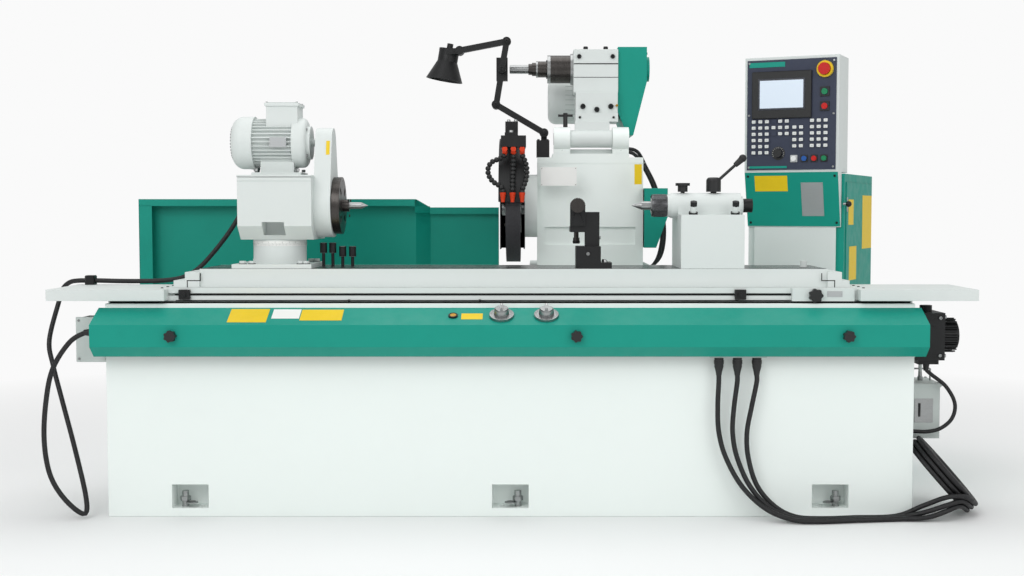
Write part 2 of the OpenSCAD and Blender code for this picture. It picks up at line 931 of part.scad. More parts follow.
// End clamps, clamp bolts and spare bolts in the T-slot
clamp_step = [46, 37];
clamp_x = [-1092, 1100];
clamp_y = [-150, 90];
clamp_z = [750, 762, 789];
bolt_x = [-628, -597, -564, -531];
bolt_top = [881, 881, 869, 869];
bolt_d = 10;
bolt_head_d = 23;
bolt_head_h = 34;
end_bolt_x = 979;
end_bolt_h = 20;

module end_clamp(x_in, x_out, s) {
  x_mid = x_in + s * clamp_step[0];
  slab_y(clamp_y)
    polygon([
      [x_in, swivel_z], [x_in, clamp_z[2]], [x_mid, clamp_z[2]], [x_mid, clamp_z[1]],
      [x_out, clamp_z[1]], [x_out, swivel_z]
    ]);
}

module table_clamps()
  color(dark_steel) {
    end_clamp(swivel_x[0], clamp_x[0], -1);
    end_clamp(swivel_x[1], clamp_x[1], 1);
    for (i = [0:3]) {
      rod_z(bolt_d, [table_top - slot_top_h, bolt_top[i] - bolt_head_h], [bolt_x[i], 0]);
      rod_z(bolt_head_d, [bolt_top[i] - bolt_head_h, bolt_top[i]], [bolt_x[i], 0]);
      block([bolt_x[i] - slot_top_w / 2, bolt_x[i] + slot_top_w / 2],
        [-slot_low_w / 2, slot_low_w / 2],
        [table_top - slot_top_h - slot_low_h, table_top - slot_top_h]);
    }
    rod_z(bolt_head_d, [table_top, table_top + end_bolt_h], [end_bolt_x, 0]);
  }

// Workhead base: plate with bolts, graduated drum and pivot pin
head_plate_x = [-906, -647];
head_plate_y = [-138, 130];
head_plate_t = 14;
head_z = 893;
head_pin_d = 44;
head_pin_l = 40;
head_bolt_x = [-875, -845, -686, -668];
head_bolt_y = [-112, 104];
head_bolt_w = 19;
head_bolt_h = 10;

module workhead_base()
  color(casting) {
    difference() {
      block(head_plate_x, head_plate_y, [table_top, table_top + head_plate_t]);
      rod_z(drum_d - 2 * run_gap - head_bolt_h, [table_top - over, table_top + head_plate_t + over],
        [head_x, 0]);
    }
    rod_z(drum_d - 2 * run_gap - head_bolt_h, [table_top, table_top + head_plate_t], [head_x, 0]);
    rod_z(drum_d, [table_top + head_plate_t, head_z], [head_x, 0]);
    rod_z(head_pin_d, [head_z, head_z + head_pin_l], [head_x, 0]);
    for (x = head_bolt_x, y = head_bolt_y)
      translate([x, y, table_top + head_plate_t])
        hex(head_bolt_w, head_bolt_h);
  }

// Workhead casting, outline in YZ
head_left = -885;
head_top = 1100;
head_chamfer = [50, 45];
window_x = [-806, -734];
window_z = [908, 951];
head_wall = 20;

module workhead_casting()
  color(casting)
  difference() {
    slab_x([head_left, head_left + head_w])
      polygon([
        [-head_d / 2 + head_chamfer[0], head_z + slide_gap],
        [-head_d / 2, head_z + head_chamfer[1]],
        [-head_d / 2, head_top], [head_d / 2, head_top], [head_d / 2, head_z + slide_gap]
      ]);
    block(window_x, [-head_d / 2 - over, -head_wall - drum_d / 4], window_z);
    block(window_x, [head_wall + drum_d / 4, head_d / 2 + over], window_z);
    rod_x(work_spindle_d + 2 * run_gap, [head_left - over, head_left + head_w + over], [0, axis_h]);
    rod_z(head_pin_d + 2 * run_gap, [head_z, head_z + head_pin_l + over], [head_x, 0]);
  }

// Foot-mounted motor: fan cowl, finned body, end bell, terminal box and foot
head_motor_x = [-923, -850, -720, -675];
head_motor_z = axis_h + head_motor_h;
head_motor_bell = 18;
terminal_x = [-805, -702];
terminal_y = 54;
terminal_z = [1286, 1342];
terminal_lid = 10;
foot_x = [-852, -690];
foot_y = 70;
foot_t = 14;
foot_step = 26;
head_shaft_d = 24;
head_shaft_end = -600;
head_flange_x = -664;
head_flange_d = 110;

// Bell along X: straight to the middle of its length, then round to a smaller end
module bell_x(d, x, at, r, s) {
  m = s > 0 ? [0, 0, 0] : [1, 0, 0];
  translate([s > 0 ? x[0] : x[1], at[0], at[1]])
    mirror(m)
      rotate([0, 90, 0])
        rotate_extrude()
          intersection() {
            round_rect([-d / 2, -(x[1] - x[0])], [d / 2, x[1] - x[0]], r);
            square([d / 2, x[1] - x[0]]);
          }
}

module workhead_motor()
  color(casting)
  difference() {
    union() {
      bell_x(head_motor_d + foot_t, [head_motor_x[0], head_motor_x[1]], [0, head_motor_z],
        2 * head_motor_bell, -1);
      finned_x(head_motor_d, [head_motor_x[1], head_motor_x[2]], [0, head_motor_z],
        2 * fin_n, fin_t / 2, fin_h + fin_t);
      bell_x(head_motor_d + fin_t, [head_motor_x[2], head_motor_x[3]], [0, head_motor_z],
        head_motor_bell, 1);
      block([terminal_x[0], terminal_x[1]], [-terminal_y, terminal_y],
        [head_motor_z + head_motor_d / 4, terminal_z[1] - terminal_lid]);
      block([terminal_x[0] - terminal_lid / 2, terminal_x[1] + terminal_lid / 2],
        [-terminal_y - terminal_lid / 2, terminal_y + terminal_lid / 2],
        [terminal_z[1] - terminal_lid, terminal_z[1]]);
      block(foot_x, [-foot_y, foot_y], [head_top, head_top + foot_t]);
      for (s = [-1, 1])
        block([foot_x[0] + foot_step, foot_x[1] - foot_step],
          [s * foot_y / 2 - foot_t, s * foot_y / 2 + foot_t],
          [head_top + foot_t, head_motor_z - head_motor_d / 4]);
      rod_x(head_flange_d, [head_motor_x[3], head_flange_x], [0, head_motor_z]);
      rod_x(head_shaft_d, [head_flange_x, head_shaft_end], [0, head_motor_z]);
      rod_x(head_pulley_d, head_pulley_x, [0, head_motor_z]);
      rod_y(gland_d, head_gland_y, [(head_motor_x[0] + head_motor_x[1]) / 2 + head_motor_bell,
        head_motor_z - head_gland_low]);
    }
  }

head_gland_y = [20, 75];
head_gland_low = 73;

head_pulley_d = 70;
head_pulley_x = [-640, -610];

// Belt guard beside the casting, in YZ a pear round both pulleys
belt_guard_x = [-645, -590];
belt_guard_r = [105, 50];
belt_guard_t = 3;

module belt_guard()
  color(casting)
  difference() {
    slab_x(belt_guard_x)
      translate([0, axis_h])
        pear(belt_guard_r[0], belt_guard_r[1], head_motor_h);
    slab_x([belt_guard_x[0] - over, belt_guard_x[1] - belt_guard_t])
      translate([0, axis_h])
        pear(belt_guard_r[0] - belt_guard_t, belt_guard_r[1] - belt_guard_t, head_motor_h);
    rod_x(work_spindle_d + 2 * slide_gap, [belt_guard_x[0], belt_guard_x[1] + over], [0, axis_h]);
  }

// Work spindle with pulley, faceplate and driving ring
plate_x = [-589, -562];
drive_ring_x = -540;
drive_ring_d = 41;
work_pulley_d = 150;
work_spindle_x = -880;
arbor_d = 36;
faceplate_slot = [16, 60];

module work_spindle()
  color(dark_steel)
  difference() {
    union() {
      rod_x(work_spindle_d, [work_spindle_x, plate_x[1]], [0, axis_h]);
      rod_x(work_pulley_d, [head_pulley_x[0], head_pulley_x[1]], [0, axis_h]);
      rod_x(plate_d, plate_x, [0, axis_h]);
      rod_x(drive_ring_d, [plate_x[1], drive_ring_x], [0, axis_h]);
    }
    rod_x(arbor_d + 2 * run_gap, [work_spindle_x - over, drive_ring_x + over], [0, axis_h]);
    for (i = [0:3])
      translate([0, 0, axis_h])
        rotate([90 * i + 45, 0, 0])
          block([plate_x[0] - over, plate_x[1] + over],
            [-faceplate_slot[0] / 2, faceplate_slot[0] / 2],
            [plate_d / 2 - faceplate_slot[0] - faceplate_slot[1] / 2,
              plate_d / 2 - faceplate_slot[0]]);
  }

// Dead centre: arbor through the spindle, held by a flange on the casting
work_tip = -478;
arbor_flange_d = 90;
arbor_flange_t = 8;
centre_point = 22;

module work_centre()
  color(steel) {
    rod_x(arbor_flange_d, [head_left - arbor_flange_t, head_left], [0, axis_h]);
    rod_x(arbor_d, [head_left, drive_ring_x], [0, axis_h]);
    rod_x(work_centre_d, [drive_ring_x, work_tip - centre_point], [0, axis_h]);
    cone_x([work_centre_d, 0], [work_tip - centre_point, work_tip], [0, axis_h]);
  }

// Tailstock
tail_y = [-140, 150];
tail_box_top = 975;
barrel_x = [521, 765];
barrel_nose = 14;
cap_ring_x = [469, 521];
cap_ring_d = 72;
end_disc_x = 772;
end_disc_d = 64;
lock_screw_x = [600, 738];
lock_screw_d = 20;
lock_screw_h = 44;
lock_screw_y = -75;
lock_screw_tilt = 20;
lever_x = 676;
lock_x = 573;
quill_back = 650;
quill_front = 467;
tail_tip = 402;
tail_point = 34;
spring_shaft_d = 16;

module tailstock_body()
  color(casting) {
    difference() {
      union() {
        block([tail_x, tail_x + tail_l], tail_y, [table_top, tail_box_top]);
        block([tail_x, tail_x + tail_l], [-barrel_d / 2, barrel_d / 2], [tail_box_top, axis_h]);
        rod_x(barrel_d, [barrel_x[0] + barrel_nose, barrel_x[1]], [0, axis_h]);
        cone_x([cap_ring_d, barrel_d], [barrel_x[0], barrel_x[0] + barrel_nose], [0, axis_h]);
        rod_x(end_disc_d, [barrel_x[1], end_disc_x], [0, axis_h]);
      }
      rod_x(quill_d + 2 * run_gap, [barrel_x[0] - over, quill_back + quill_room], [0, axis_h]);
      rod_x(spring_shaft_d + 2 * run_gap, [quill_back, end_disc_x + over], [0, axis_h]);
      rod_z(lever_shaft_d + 2 * run_gap, [axis_h + quill_d / 2 + shaft_room, axis_h + barrel_d],
        [lever_x, 0]);
      rod_z(lock_shaft_d + 2 * run_gap, [axis_h + quill_d / 2 + shaft_room, axis_h + barrel_d],
        [lock_x, 0]);
    }
    difference() {
      rod_x(cap_ring_d, cap_ring_x, [0, axis_h]);
      rod_x(quill_d + 2 * run_gap, [cap_ring_x[0] - over, cap_ring_x[1] + over], [0, axis_h]);
    }
    for (x = lock_screw_x)
      translate([x, lock_screw_y, tail_box_top])
        rotate([lock_screw_tilt, 0, 0])
          cylinder(d = lock_screw_d, h = lock_screw_h);
  }

quill_room = 36;
shaft_room = 4;

module quill()
  color(steel) {
    rod_x(quill_d, [quill_front, quill_back], [0, axis_h]);
    rod_x(tail_centre_d, [tail_tip + tail_point, quill_front], [0, axis_h]);
    cone_x([0, tail_centre_d], [tail_tip, tail_tip + tail_point], [0, axis_h]);
  }

// Retract lever: domed boss, slanting rod and tapered grip
lever_boss_d = 49;
lever_boss_h = 48;
lever_rod_d = 10;
lever_rod_l = 96;
lever_grip_d = [17, 24];
lever_grip_l = 38;
lever_slope = 42;
boss_base = axis_h + barrel_d / 2 + shaft_room;

module retract_lever()
  color(black) {
    rod_z(lever_shaft_d, [axis_h + quill_d / 2 + shaft_room, boss_base], [lever_x, 0]);
    translate([lever_x, 0, boss_base])
      rotate_extrude()
        intersection() {
          round_rect([-lever_boss_d / 2, -lever_boss_h], [lever_boss_d / 2, lever_boss_h],
            lever_boss_d / 4);
          square([lever_boss_d / 2, lever_boss_h]);
        }
    translate([lever_x, 0, boss_base + lever_boss_h / 2])
      rotate([0, 90 - lever_slope, 0]) {
        cylinder(d = lever_rod_d, h = lever_rod_l);
        translate([0, 0, lever_rod_l])
          cylinder(d1 = lever_grip_d[0], d2 = lever_grip_d[1], h = lever_grip_l);
      }
  }

lock_shaft_d = 14;
lock_neck_d = 33;
lock_neck_h = 20;
lock_cap_d = 48;
lock_cap_h = 9;

module quill_lock()
  color(black) {
    rod_z(lock_shaft_d, [axis_h + quill_d / 2 + shaft_room, boss_base], [lock_x, 0]);
    rod_z(lock_neck_d, [boss_base, boss_base + lock_neck_h], [lock_x, 0]);
    rod_z(lock_cap_d, [boss_base + lock_neck_h, boss_base + lock_neck_h + lock_cap_h], [lock_x, 0]);
  }

spring_knob_d = 46;
spring_knob_l = 33;
spring_shaft_l = 60;

module spring_knob()
  color(black) {
    finned_x(spring_knob_d, [end_disc_x + slide_gap, end_disc_x + spring_knob_l], [0, axis_h],
      2 * fin_n, fin_t / 2, fin_t / 2);
    rod_x(spring_shaft_d, [end_disc_x - spring_shaft_l, end_disc_x + slide_gap], [0, axis_h]);
  }

// Steady rest in front of the work axis, jaws from the front and from below
steady_x = 218;
steady_box_x = [213, 294];
steady_box_y = [-138, -40];
steady_box_top = 872;
steady_neck_x = [243, 290];
steady_neck_y = [-120, -66];
steady_neck_top = 984;
steady_head_w = 46;
steady_head_y = [-132, -66];
steady_head_z = [938, 1005];
steady_arm_y = 24;
steady_arm_z = [918, 938];
steady_foot_x = 330;
steady_foot_h = 20;
steady_jaw_d = 16;
jaw_tip_gap = 22;
jaw_knob_d = 47;
jaw_knob_h = 12;
jaw_screw_knob = 22;
jaw_screw_knob_h = 20;
jaw_travel = 20;

module steady_bracket()
  color(black)
  difference() {
    union() {
      block(steady_box_x, steady_box_y, [table_top, steady_box_top]);
      block([steady_box_x[0], steady_foot_x], steady_box_y, [table_top, table_top + steady_foot_h]);
      block(steady_neck_x, steady_neck_y, [steady_box_top, steady_neck_top]);
      block([steady_x - steady_head_w / 2, steady_neck_x[0]], steady_head_y, steady_head_z);
      rod_y(steady_head_w, steady_head_y, [steady_x, axis_h]);
      block([steady_x - steady_head_w / 2, steady_neck_x[1]], [steady_neck_y[0], steady_arm_y],
        steady_arm_z);
    }
    rod_y(steady_jaw_d + 2 * run_gap, [steady_head_y[0] - over, steady_head_y[1] + over],
      [steady_x, axis_h]);
    rod_z(steady_jaw_d + 2 * run_gap, [steady_arm_z[0] - over, steady_arm_z[1] + over],
      [steady_x, 0]);
  }

module steady_front_jaw()
  color(dark_steel) {
    rod_y(steady_jaw_d, [steady_head_y[0] - jaw_travel, -jaw_tip_gap], [steady_x, axis_h]);
    rod_y(jaw_knob_d, [steady_head_y[0] - jaw_travel - jaw_knob_h, steady_head_y[0] - jaw_travel],
      [steady_x, axis_h]);
  }

module steady_lower_jaw()
  color(dark_steel) {
    rod_z(steady_jaw_d, [steady_arm_z[0] - jaw_travel, axis_h - jaw_tip_gap], [steady_x, 0]);
    rod_z(jaw_screw_knob, [steady_arm_z[0] - jaw_travel - jaw_screw_knob_h,
      steady_arm_z[0] - jaw_travel], [steady_x, 0]);
  }

// Cross slide on the rear rails
house_front = 300;
house_off = 16.5;
house_x = [rear_x + house_off - house_w / 2, rear_x + house_off + house_w / 2];
house_z = 790;
house_top = axis_h + house_up;
slide_x = [60, 500];
slide_back = 880;

module cross_slide()
  color(casting)
  block(slide_x, [house_front, slide_back], [table_z, house_z]);

// Wheelhead housing with a round spindle nose, a recessed front panel and a top cover
nose_d = 223;
nose_x = 44;
recess_x = [114, 438];
recess_z = [867, 930];
recess_depth = 12;
cover_line = 22;
cover_gap = 2;

module wheelhead_housing()
  color(casting)
  difference() {
    union() {
      block(house_x, [house_front, house_front + house_d], [house_z, house_top]);
      rod_x(nose_d, [nose_x, house_x[0]], [wheel_y, axis_h]);
    }
    block(recess_x, [house_front - over, house_front + recess_depth], recess_z);
    block([house_x[0] - over, house_x[1] + over], [house_front - over, house_front + cover_gap],
      [house_top - cover_line - cover_gap, house_top - cover_line]);
    rod_x(spindle_d + 2 * run_gap, [nose_x - over, house_x[1] + over], [wheel_y, axis_h]);
    rod_z(foot_pin_d + 2 * run_gap, [house_top - foot_pin_l, house_top + over], lamp_at);
  }

// Wheel guard: shroud round the upper and rear wheel, with side plates inside the wheel's outline
guard_x = [-46, 43];
guard_t = 5;
guard_front_z = 1018;
guard_rear_z = 850;
guard_side_t = 4;
guard_shift = 11;
wheel_x = 3;

module wheel_guard()
  color(black) {
    difference() {
      slab_x(guard_x)
        guard_outline(guard_r);
      slab_x([guard_x[0] + guard_side_t, guard_x[1] - guard_side_t])
        guard_outline(guard_r - guard_t, over);
      rod_x(nose_d, [guard_x[1] - guard_side_t - over, guard_x[1] + over], [wheel_y, axis_h]);
    }
  }

// Outline in YZ, where low lowers the open edges
module guard_outline(r, low = 0)
  difference() {
    translate([wheel_y + guard_shift, axis_h + guard_shift])
      circle(r);
    translate([wheel_y - 2 * r, guard_rear_z - low - 2 * r])
      square([4 * r, 2 * r]);
    translate([wheel_y - 2 * r, guard_rear_z - 2 * r])
      square([2 * r, 2 * r + guard_front_z - guard_rear_z - low]);
  }

// Green guard over the wheel belt, outline in XZ
drive_x = [465, 548];
drive_z = [857, 1067];
drive_y = [250, 800];
drive_slant = [40, 108];
drive_t = 4;

module drive_outline(t)
  polygon([
    [drive_x[0] - over * (t > 0 ? 1 : 0), drive_z[1] - t], [drive_x[1] - t, drive_z[1] - t],
    [drive_x[1] - t, drive_z[0] + drive_slant[1]], [drive_x[1] - drive_slant[0] - t, drive_z[0] + t],
    [drive_x[0] - over * (t > 0 ? 1 : 0), drive_z[0] + t]
  ]);

module drive_guard()
  color(green)
  difference() {
    slab_y(drive_y)
      drive_outline(0);
    slab_y([drive_y[0] + drive_t, drive_y[1] - drive_t])
      drive_outline(drive_t);
  }

// Grinding wheel
module grinding_wheel()
  color([0.25, 0.25, 0.26])
  difference() {
    rod_x(wheel_d, [wheel_x - wheel_w / 2, wheel_x + wheel_w / 2], [wheel_y, axis_h]);
    rod_x(wheel_bore, [wheel_x - wheel_w, wheel_x + wheel_w], [wheel_y, axis_h]);
  }

// Wheel spindle with hub, flange, nut and belt pulley
flange_d = 190;
flange_t = 3;
nut_x = -38;
wheel_nut_d = 70;
drive_pulley_d = 110;
drive_pulley_x = [478, 532];

module wheel_spindle()
  color(steel) {
    rod_x(wheel_bore, [wheel_x - wheel_w / 2 - flange_t, wheel_x + wheel_w / 2], [wheel_y, axis_h]);
    rod_x(flange_d, [wheel_x + wheel_w / 2, wheel_x + wheel_w / 2 + flange_t], [wheel_y, axis_h]);
    rod_x(wheel_nut_d, [nut_x, wheel_x - wheel_w / 2 - flange_t], [wheel_y, axis_h]);
    rod_x(spindle_d, [wheel_x + wheel_w / 2, drive_pulley_x[1]], [wheel_y, axis_h]);
    rod_x(drive_pulley_d, drive_pulley_x, [wheel_y, axis_h]);
  }

// Coolant bracket, manifold, three valves and three nozzles
coolant_arm_x = [-24, 20];
coolant_arm_y = [130, 350];
coolant_arm_z = [1245.3, 1256];
coolant_post = [220, 262, 1299];
manifold_x = [-37, 49];
manifold_y = [122, 166];
manifold_z = [1206, 1245.3];
valve_d = 20;
valve_h = 12;
hose_x = [-24, 6, 36];
hose_y = 142;
hose_top = manifold_z[0] - valve_h;
nozzle_d = [20, 11];
nozzle_l = 32;

// Hose routes: from the valve to the nozzle
hose_left = [
  [-24, 142, 1194], [-24, 142, 1186], [-24, 142, 1178], [-42, 138, 1166], [-68, 134, 1156],
  [-81, 130, 1136], [-81, 126, 1115], [-72, 120, 1096], [-58, 114, 1082], [-43, 109, 1075],
  [-32, 107, 1067], [-30, 107, 1058], [-30, 107, 1053.5], [-30, 107, 1049]
];
hose_middle = [
  [6, 142, 1194], [6, 142, 1186], [6, 142, 1178], [5, 138, 1150], [4, 130, 1120], [3, 120, 1095],
  [3, 109, 1070], [3, 107, 1060], [3, 107, 1054.5], [3, 107, 1049]
];
hose_right = [
  [36, 142, 1194], [36, 142, 1186], [36, 142, 1178], [44, 138, 1163], [51, 134, 1140],
  [52, 128, 1115], [48, 118, 1090], [40, 109, 1070], [36, 107, 1061], [36, 107, 1055],
  [36, 107, 1049]
];
hose_routes = [hose_left, hose_middle, hose_right];
hose_bead_d = 17;
hose_waist_d = 12;

module coolant_manifold()
  color(black) {
    block(coolant_arm_x, coolant_arm_y, coolant_arm_z);
    block(coolant_arm_x, [coolant_post[0], coolant_post[1]], [coolant_arm_z[1], coolant_post[2]]);
    block(manifold_x, manifold_y, manifold_z);
    for (x = hose_x)
      rod_z(valve_d, [hose_top, manifold_z[0]], [x, hose_y]);
    for (p = hose_routes)
      translate(p[len(p) - 1] - [0, 0, nozzle_l])
        cylinder(d1 = nozzle_d[1], d2 = nozzle_d[0], h = nozzle_l);
  }

module coolant_hoses()
  color(black)
  for (p = hose_routes) {
    line = route(p, 2);
    tube(line, [for (i = [0:len(line) - 1]) i % 2 == 0 ? hose_bead_d : hose_waist_d], [1, 0, 0], 10);
  }

// Hinge base of the internal grinding attachment
hinge_at = [hinge_y, axis_h + hinge_h];
base_x = [142, 414];
base_y = [300, 640];
base_t = 13;
hinge_block_x = [[147, 205], [355, 413]];
hinge_block_r = 42;

module hinge_base()
  color(casting) {
    block(base_x, base_y, [house_top, house_top + base_t]);
    difference() {
      union()
        for (x = hinge_block_x) {
          rod_x(2 * hinge_block_r, x, hinge_at);
          block(x, [hinge_y - hinge_block_r / 2, hinge_y + hinge_block_r],
            [house_top + base_t, hinge_at[1]]);
        }
      rod_z(swing_lock_d + 2 * run_gap,
        [hinge_at[1] + hinge_pin_d / 2, hinge_at[1] + 2 * hinge_block_r], [lock_at_x, hinge_y]);
      rod_x(hinge_pin_d, [hinge_block_x[0][0] - over, hinge_block_x[1][1] + over], hinge_at);
    }
    rod_x(hinge_pin_d, [hinge_block_x[0][0], hinge_block_x[1][1]], hinge_at);
  }

// Swing holder: barrel on the pin, web, foot plate, arm and clamp for the cartridge
barrel_r = 31;
web_y = [-10, 24];
web_x = [222, 345];
plate_foot_x = [224, 376];
plate_foot_y = [0, 150];
plate_foot_z = [62, 92];
arm_x = [226, 376];
arm_y = [20, 150];
holder_x = [218, 378];
holder_y = [35, 180];
holder_z = [168, 322];
cartridge_at = [105, 257];
cap_gap = 2;
cap_line = 50;

module at_hinge()
  translate([0, hinge_at[0], hinge_at[1]])
  children();

module swing_holder()
  color(casting)
  at_hinge()
  difference() {
    union() {
      rod_x(2 * barrel_r, [hinge_block_x[0][1] + slide_gap, hinge_block_x[1][0] - slide_gap], [0, 0]);
      block(web_x, web_y, [barrel_r / 2, plate_foot_z[0]]);
      block(plate_foot_x, plate_foot_y, plate_foot_z);
      block(arm_x, arm_y, [plate_foot_z[1], holder_z[0]]);
      block(holder_x, holder_y, holder_z);
    }
    rod_x(hinge_pin_d + 2 * run_gap, hinge_block_x_all, [0, 0]);
    rod_x(cartridge_d, [holder_x[0] - over, holder_x[1] + over], cartridge_at);
    block([holder_x[0] - over, holder_x[1] + over], [holder_y[0] - over, holder_y[0] + cap_gap],
      [holder_z[1] - cap_line - cap_gap, holder_z[1] - cap_line]);
  }

hinge_block_x_all = [hinge_block_x[0][0], hinge_block_x[1][1]];

// Spindle cartridge with its stepped nose
cartridge_x = [125, 378];
nose_small_d = 58;
nose_small_x = 84;

module spindle_cartridge()
  color(dark_steel)
  at_hinge()
  difference() {
    union() {
      rod_x(cartridge_d, cartridge_x, cartridge_at);
      rod_x(nose_small_d, [nose_small_x, cartridge_x[0]], cartridge_at);
    }
    rod_x(bore_quill_d + 2 * run_gap, [nose_small_x - over, cartridge_x[1] + over], cartridge_at);
  }

// Internal spindle with quill, small wheel and pulley
quill_tip = -12;
swing_pulley_d = 70;
swing_pulley_x = [392, 430];
end_disc_swing = [493, 88];

module internal_spindle()
  color(steel)
  at_hinge() {
    rod_x(bore_quill_d, [quill_tip, swing_pulley_x[1]], cartridge_at);
    rod_x(swing_pulley_d, swing_pulley_x, cartridge_at);
  }

// Attachment motor on the back of the arm
swing_motor_at = [268, 154];
swing_motor_x = [128, 372];
swing_motor_bell = 30;
motor_foot = [240, 350];
motor_foot_z = [112, 160];
motor_pulley_d = 80;
motor_pulley_x = [388, 430];

module swing_motor()
  color(casting)
  at_hinge() {
    bell_x(swing_motor_d, [swing_motor_x[0], swing_motor_x[0] + 2 * swing_motor_bell], swing_motor_at,
      swing_motor_bell, -1);
    rod_x(swing_motor_d - fin_t, [swing_motor_x[0] + 2 * swing_motor_bell, swing_motor_x[1]],
      swing_motor_at);
    rod_x(head_shaft_d, [swing_motor_x[1], motor_pulley_x[1]], swing_motor_at);
    rod_x(motor_pulley_d, motor_pulley_x, swing_motor_at);
    block(motor_foot, [arm_y[1], swing_motor_at[0] - swing_motor_d / 3], motor_foot_z);
  }

// Green belt cover of the attachment, outline in XZ
swing_cover_x = [378, 482, 434, 412];
swing_cover_z = [332, 207, 17, 100];
swing_cover_y = [50, 335];
swing_cover_t = 3;

module swing_cover_outline(t)
  polygon([
    [swing_cover_x[0] - over * (t > 0 ? 1 : 0), swing_cover_z[0] - t],
    [swing_cover_x[1] - t, swing_cover_z[0] - t],
    [swing_cover_x[1] - t, swing_cover_z[1]], [swing_cover_x[2] - t, swing_cover_z[2] + t],
    [swing_cover_x[3] + t, swing_cover_z[2] + t],
    [swing_cover_x[0] - over * (t > 0 ? 1 : 0), swing_cover_z[3] + t]
  ]);

module swing_cover()
  color(green)
  at_hinge() {
    difference() {
      slab_y(swing_cover_y)
        swing_cover_outline(0);
      slab_y([swing_cover_y[0] + swing_cover_t, swing_cover_y[1] - swing_cover_t])
        swing_cover_outline(swing_cover_t);
    }
    rod_x(end_disc_swing[1], [swing_cover_x[1], end_disc_swing[0]], cartridge_at);
  }

// T-handle that locks the swing
swing_lock_d = 16;
lock_at_x = 188;
lock_top = 92;
lock_bar_d = 9;
lock_bar_l = 52;

module swing_lock()
  color(black) {
    rod_z(swing_lock_d, [hinge_at[1] + hinge_pin_d / 2 + slide_gap, hinge_at[1] + lock_top],
      [lock_at_x, hinge_y]);
    rod_x(lock_bar_d, [lock_at_x - lock_bar_l / 2, lock_at_x + lock_bar_l / 2],
      [hinge_y, hinge_at[1] + lock_top - lock_bar_d]);
  }

// Lamp: places of its pivots in XZ, all in one upright plane
lamp_at = [108, 322];
foot_pin_d = 16;
foot_pin_l = 12;
foot_half = 23;
lamp_foot_top = 1238;
lamp_y = 322;
pivot_low = [112, 1265];
pivot_elbow = [-59, 1365];
pivot_block = [-38, 1492];
pivot_high = [-21, 1588];
pivot_head = [-188, 1556];
lamp_pin_d = 8;
lamp_pin_l = 40;
block_half = [20, 41];
arm_gap = 2;
end_proud = 0.4;

// Square arm at y through a line of pivots
module lamp_arm(p, y)
  slab_y([y - lamp_arm_w / 2, y + lamp_arm_w / 2])
  for (i = [1:len(p) - 1])
    translate(p[i - 1])
      rotate(atan2(p[i][1] - p[i - 1][1], p[i][0] - p[i - 1][0]))
        translate([0, -lamp_arm_w / 2])
          square([norm(p[i] - p[i - 1]), lamp_arm_w]);

// Disc end of an arm round a pivot
module arm_end(at, y)
  rod_y(1.5 * lamp_arm_w,
    [y - lamp_arm_w / 2 - end_proud, y + lamp_arm_w / 2 + end_proud], at);

lamp_back_y = lamp_y + lamp_arm_w + arm_gap;

module lamp_foot()
  color(black) {
    block([lamp_at[0] - foot_half, lamp_at[0] + foot_half],
      [lamp_at[1] - foot_half + arm_gap, lamp_at[1] + foot_half],
      [house_top + slide_gap, lamp_foot_top]);
    block([pivot_low[0] - lamp_arm_w / 2, pivot_low[0] + lamp_arm_w / 2],
      [lamp_back_y - lamp_arm_w / 2, lamp_back_y + lamp_arm_w / 2],
      [lamp_foot_top, pivot_low[1]]);
    arm_end(pivot_low, lamp_back_y);
    rod_z(foot_pin_d, [house_top - foot_pin_l, house_top + slide_gap], lamp_at);
    rod_y(lamp_pin_d, [lamp_y - lamp_pin_l / 2, lamp_back_y], pivot_low);
  }

// Arm with a bore at its first pivot and a pin at its second, where the next arm lies at y_next
module jointed_arm(a, b, y, y_next) {
  difference() {
    union() {
      lamp_arm([a, b], y);
      arm_end(a, y);
      arm_end(b, y);
    }
    rod_y(lamp_pin_d + 2 * run_gap, [y - lamp_arm_w, y + lamp_arm_w], a);
  }
  rod_y(lamp_pin_d, [min(y, y_next - lamp_arm_w / 2), max(y, y_next + lamp_arm_w / 2)], b);
}

module lamp_lower_arm()
  color(black)
  jointed_arm(pivot_low, pivot_elbow, lamp_y, lamp_back_y);

module lamp_middle_arm()
  color(black) {
    jointed_arm(pivot_elbow, pivot_block, lamp_back_y, lamp_y);
    block([pivot_block[0] - block_half[0], pivot_block[0] + block_half[0]],
      [lamp_back_y - lamp_arm_w / 2, lamp_back_y + lamp_arm_w],
      [pivot_block[1] - block_half[1], pivot_block[1] + block_half[1]]);
  }

module lamp_upper_arm()
  color(black) {
    difference() {
      union() {
        lamp_arm([pivot_block, pivot_high, pivot_head], lamp_y);
        arm_end(pivot_block, lamp_y);
        arm_end(pivot_high, lamp_y);
        arm_end(pivot_head, lamp_y);
      }
      rod_y(lamp_pin_d + 2 * run_gap, [lamp_y - lamp_arm_w, lamp_y + lamp_arm_w], pivot_block);
    }
    rod_y(lamp_pin_d, [lamp_y, lamp_back_y + lamp_arm_w / 2], pivot_head);
  }

// Shade: bell of revolution about an axis leaning to the left, with bulb and lug
shade_at = [-227, 1566];
shade_y = 372;
shade_lean = 10;
shade_top_d = 72;
shade_len = 112;
shade_wall = 2;
bulb_d = 56;
lug_l = 50;

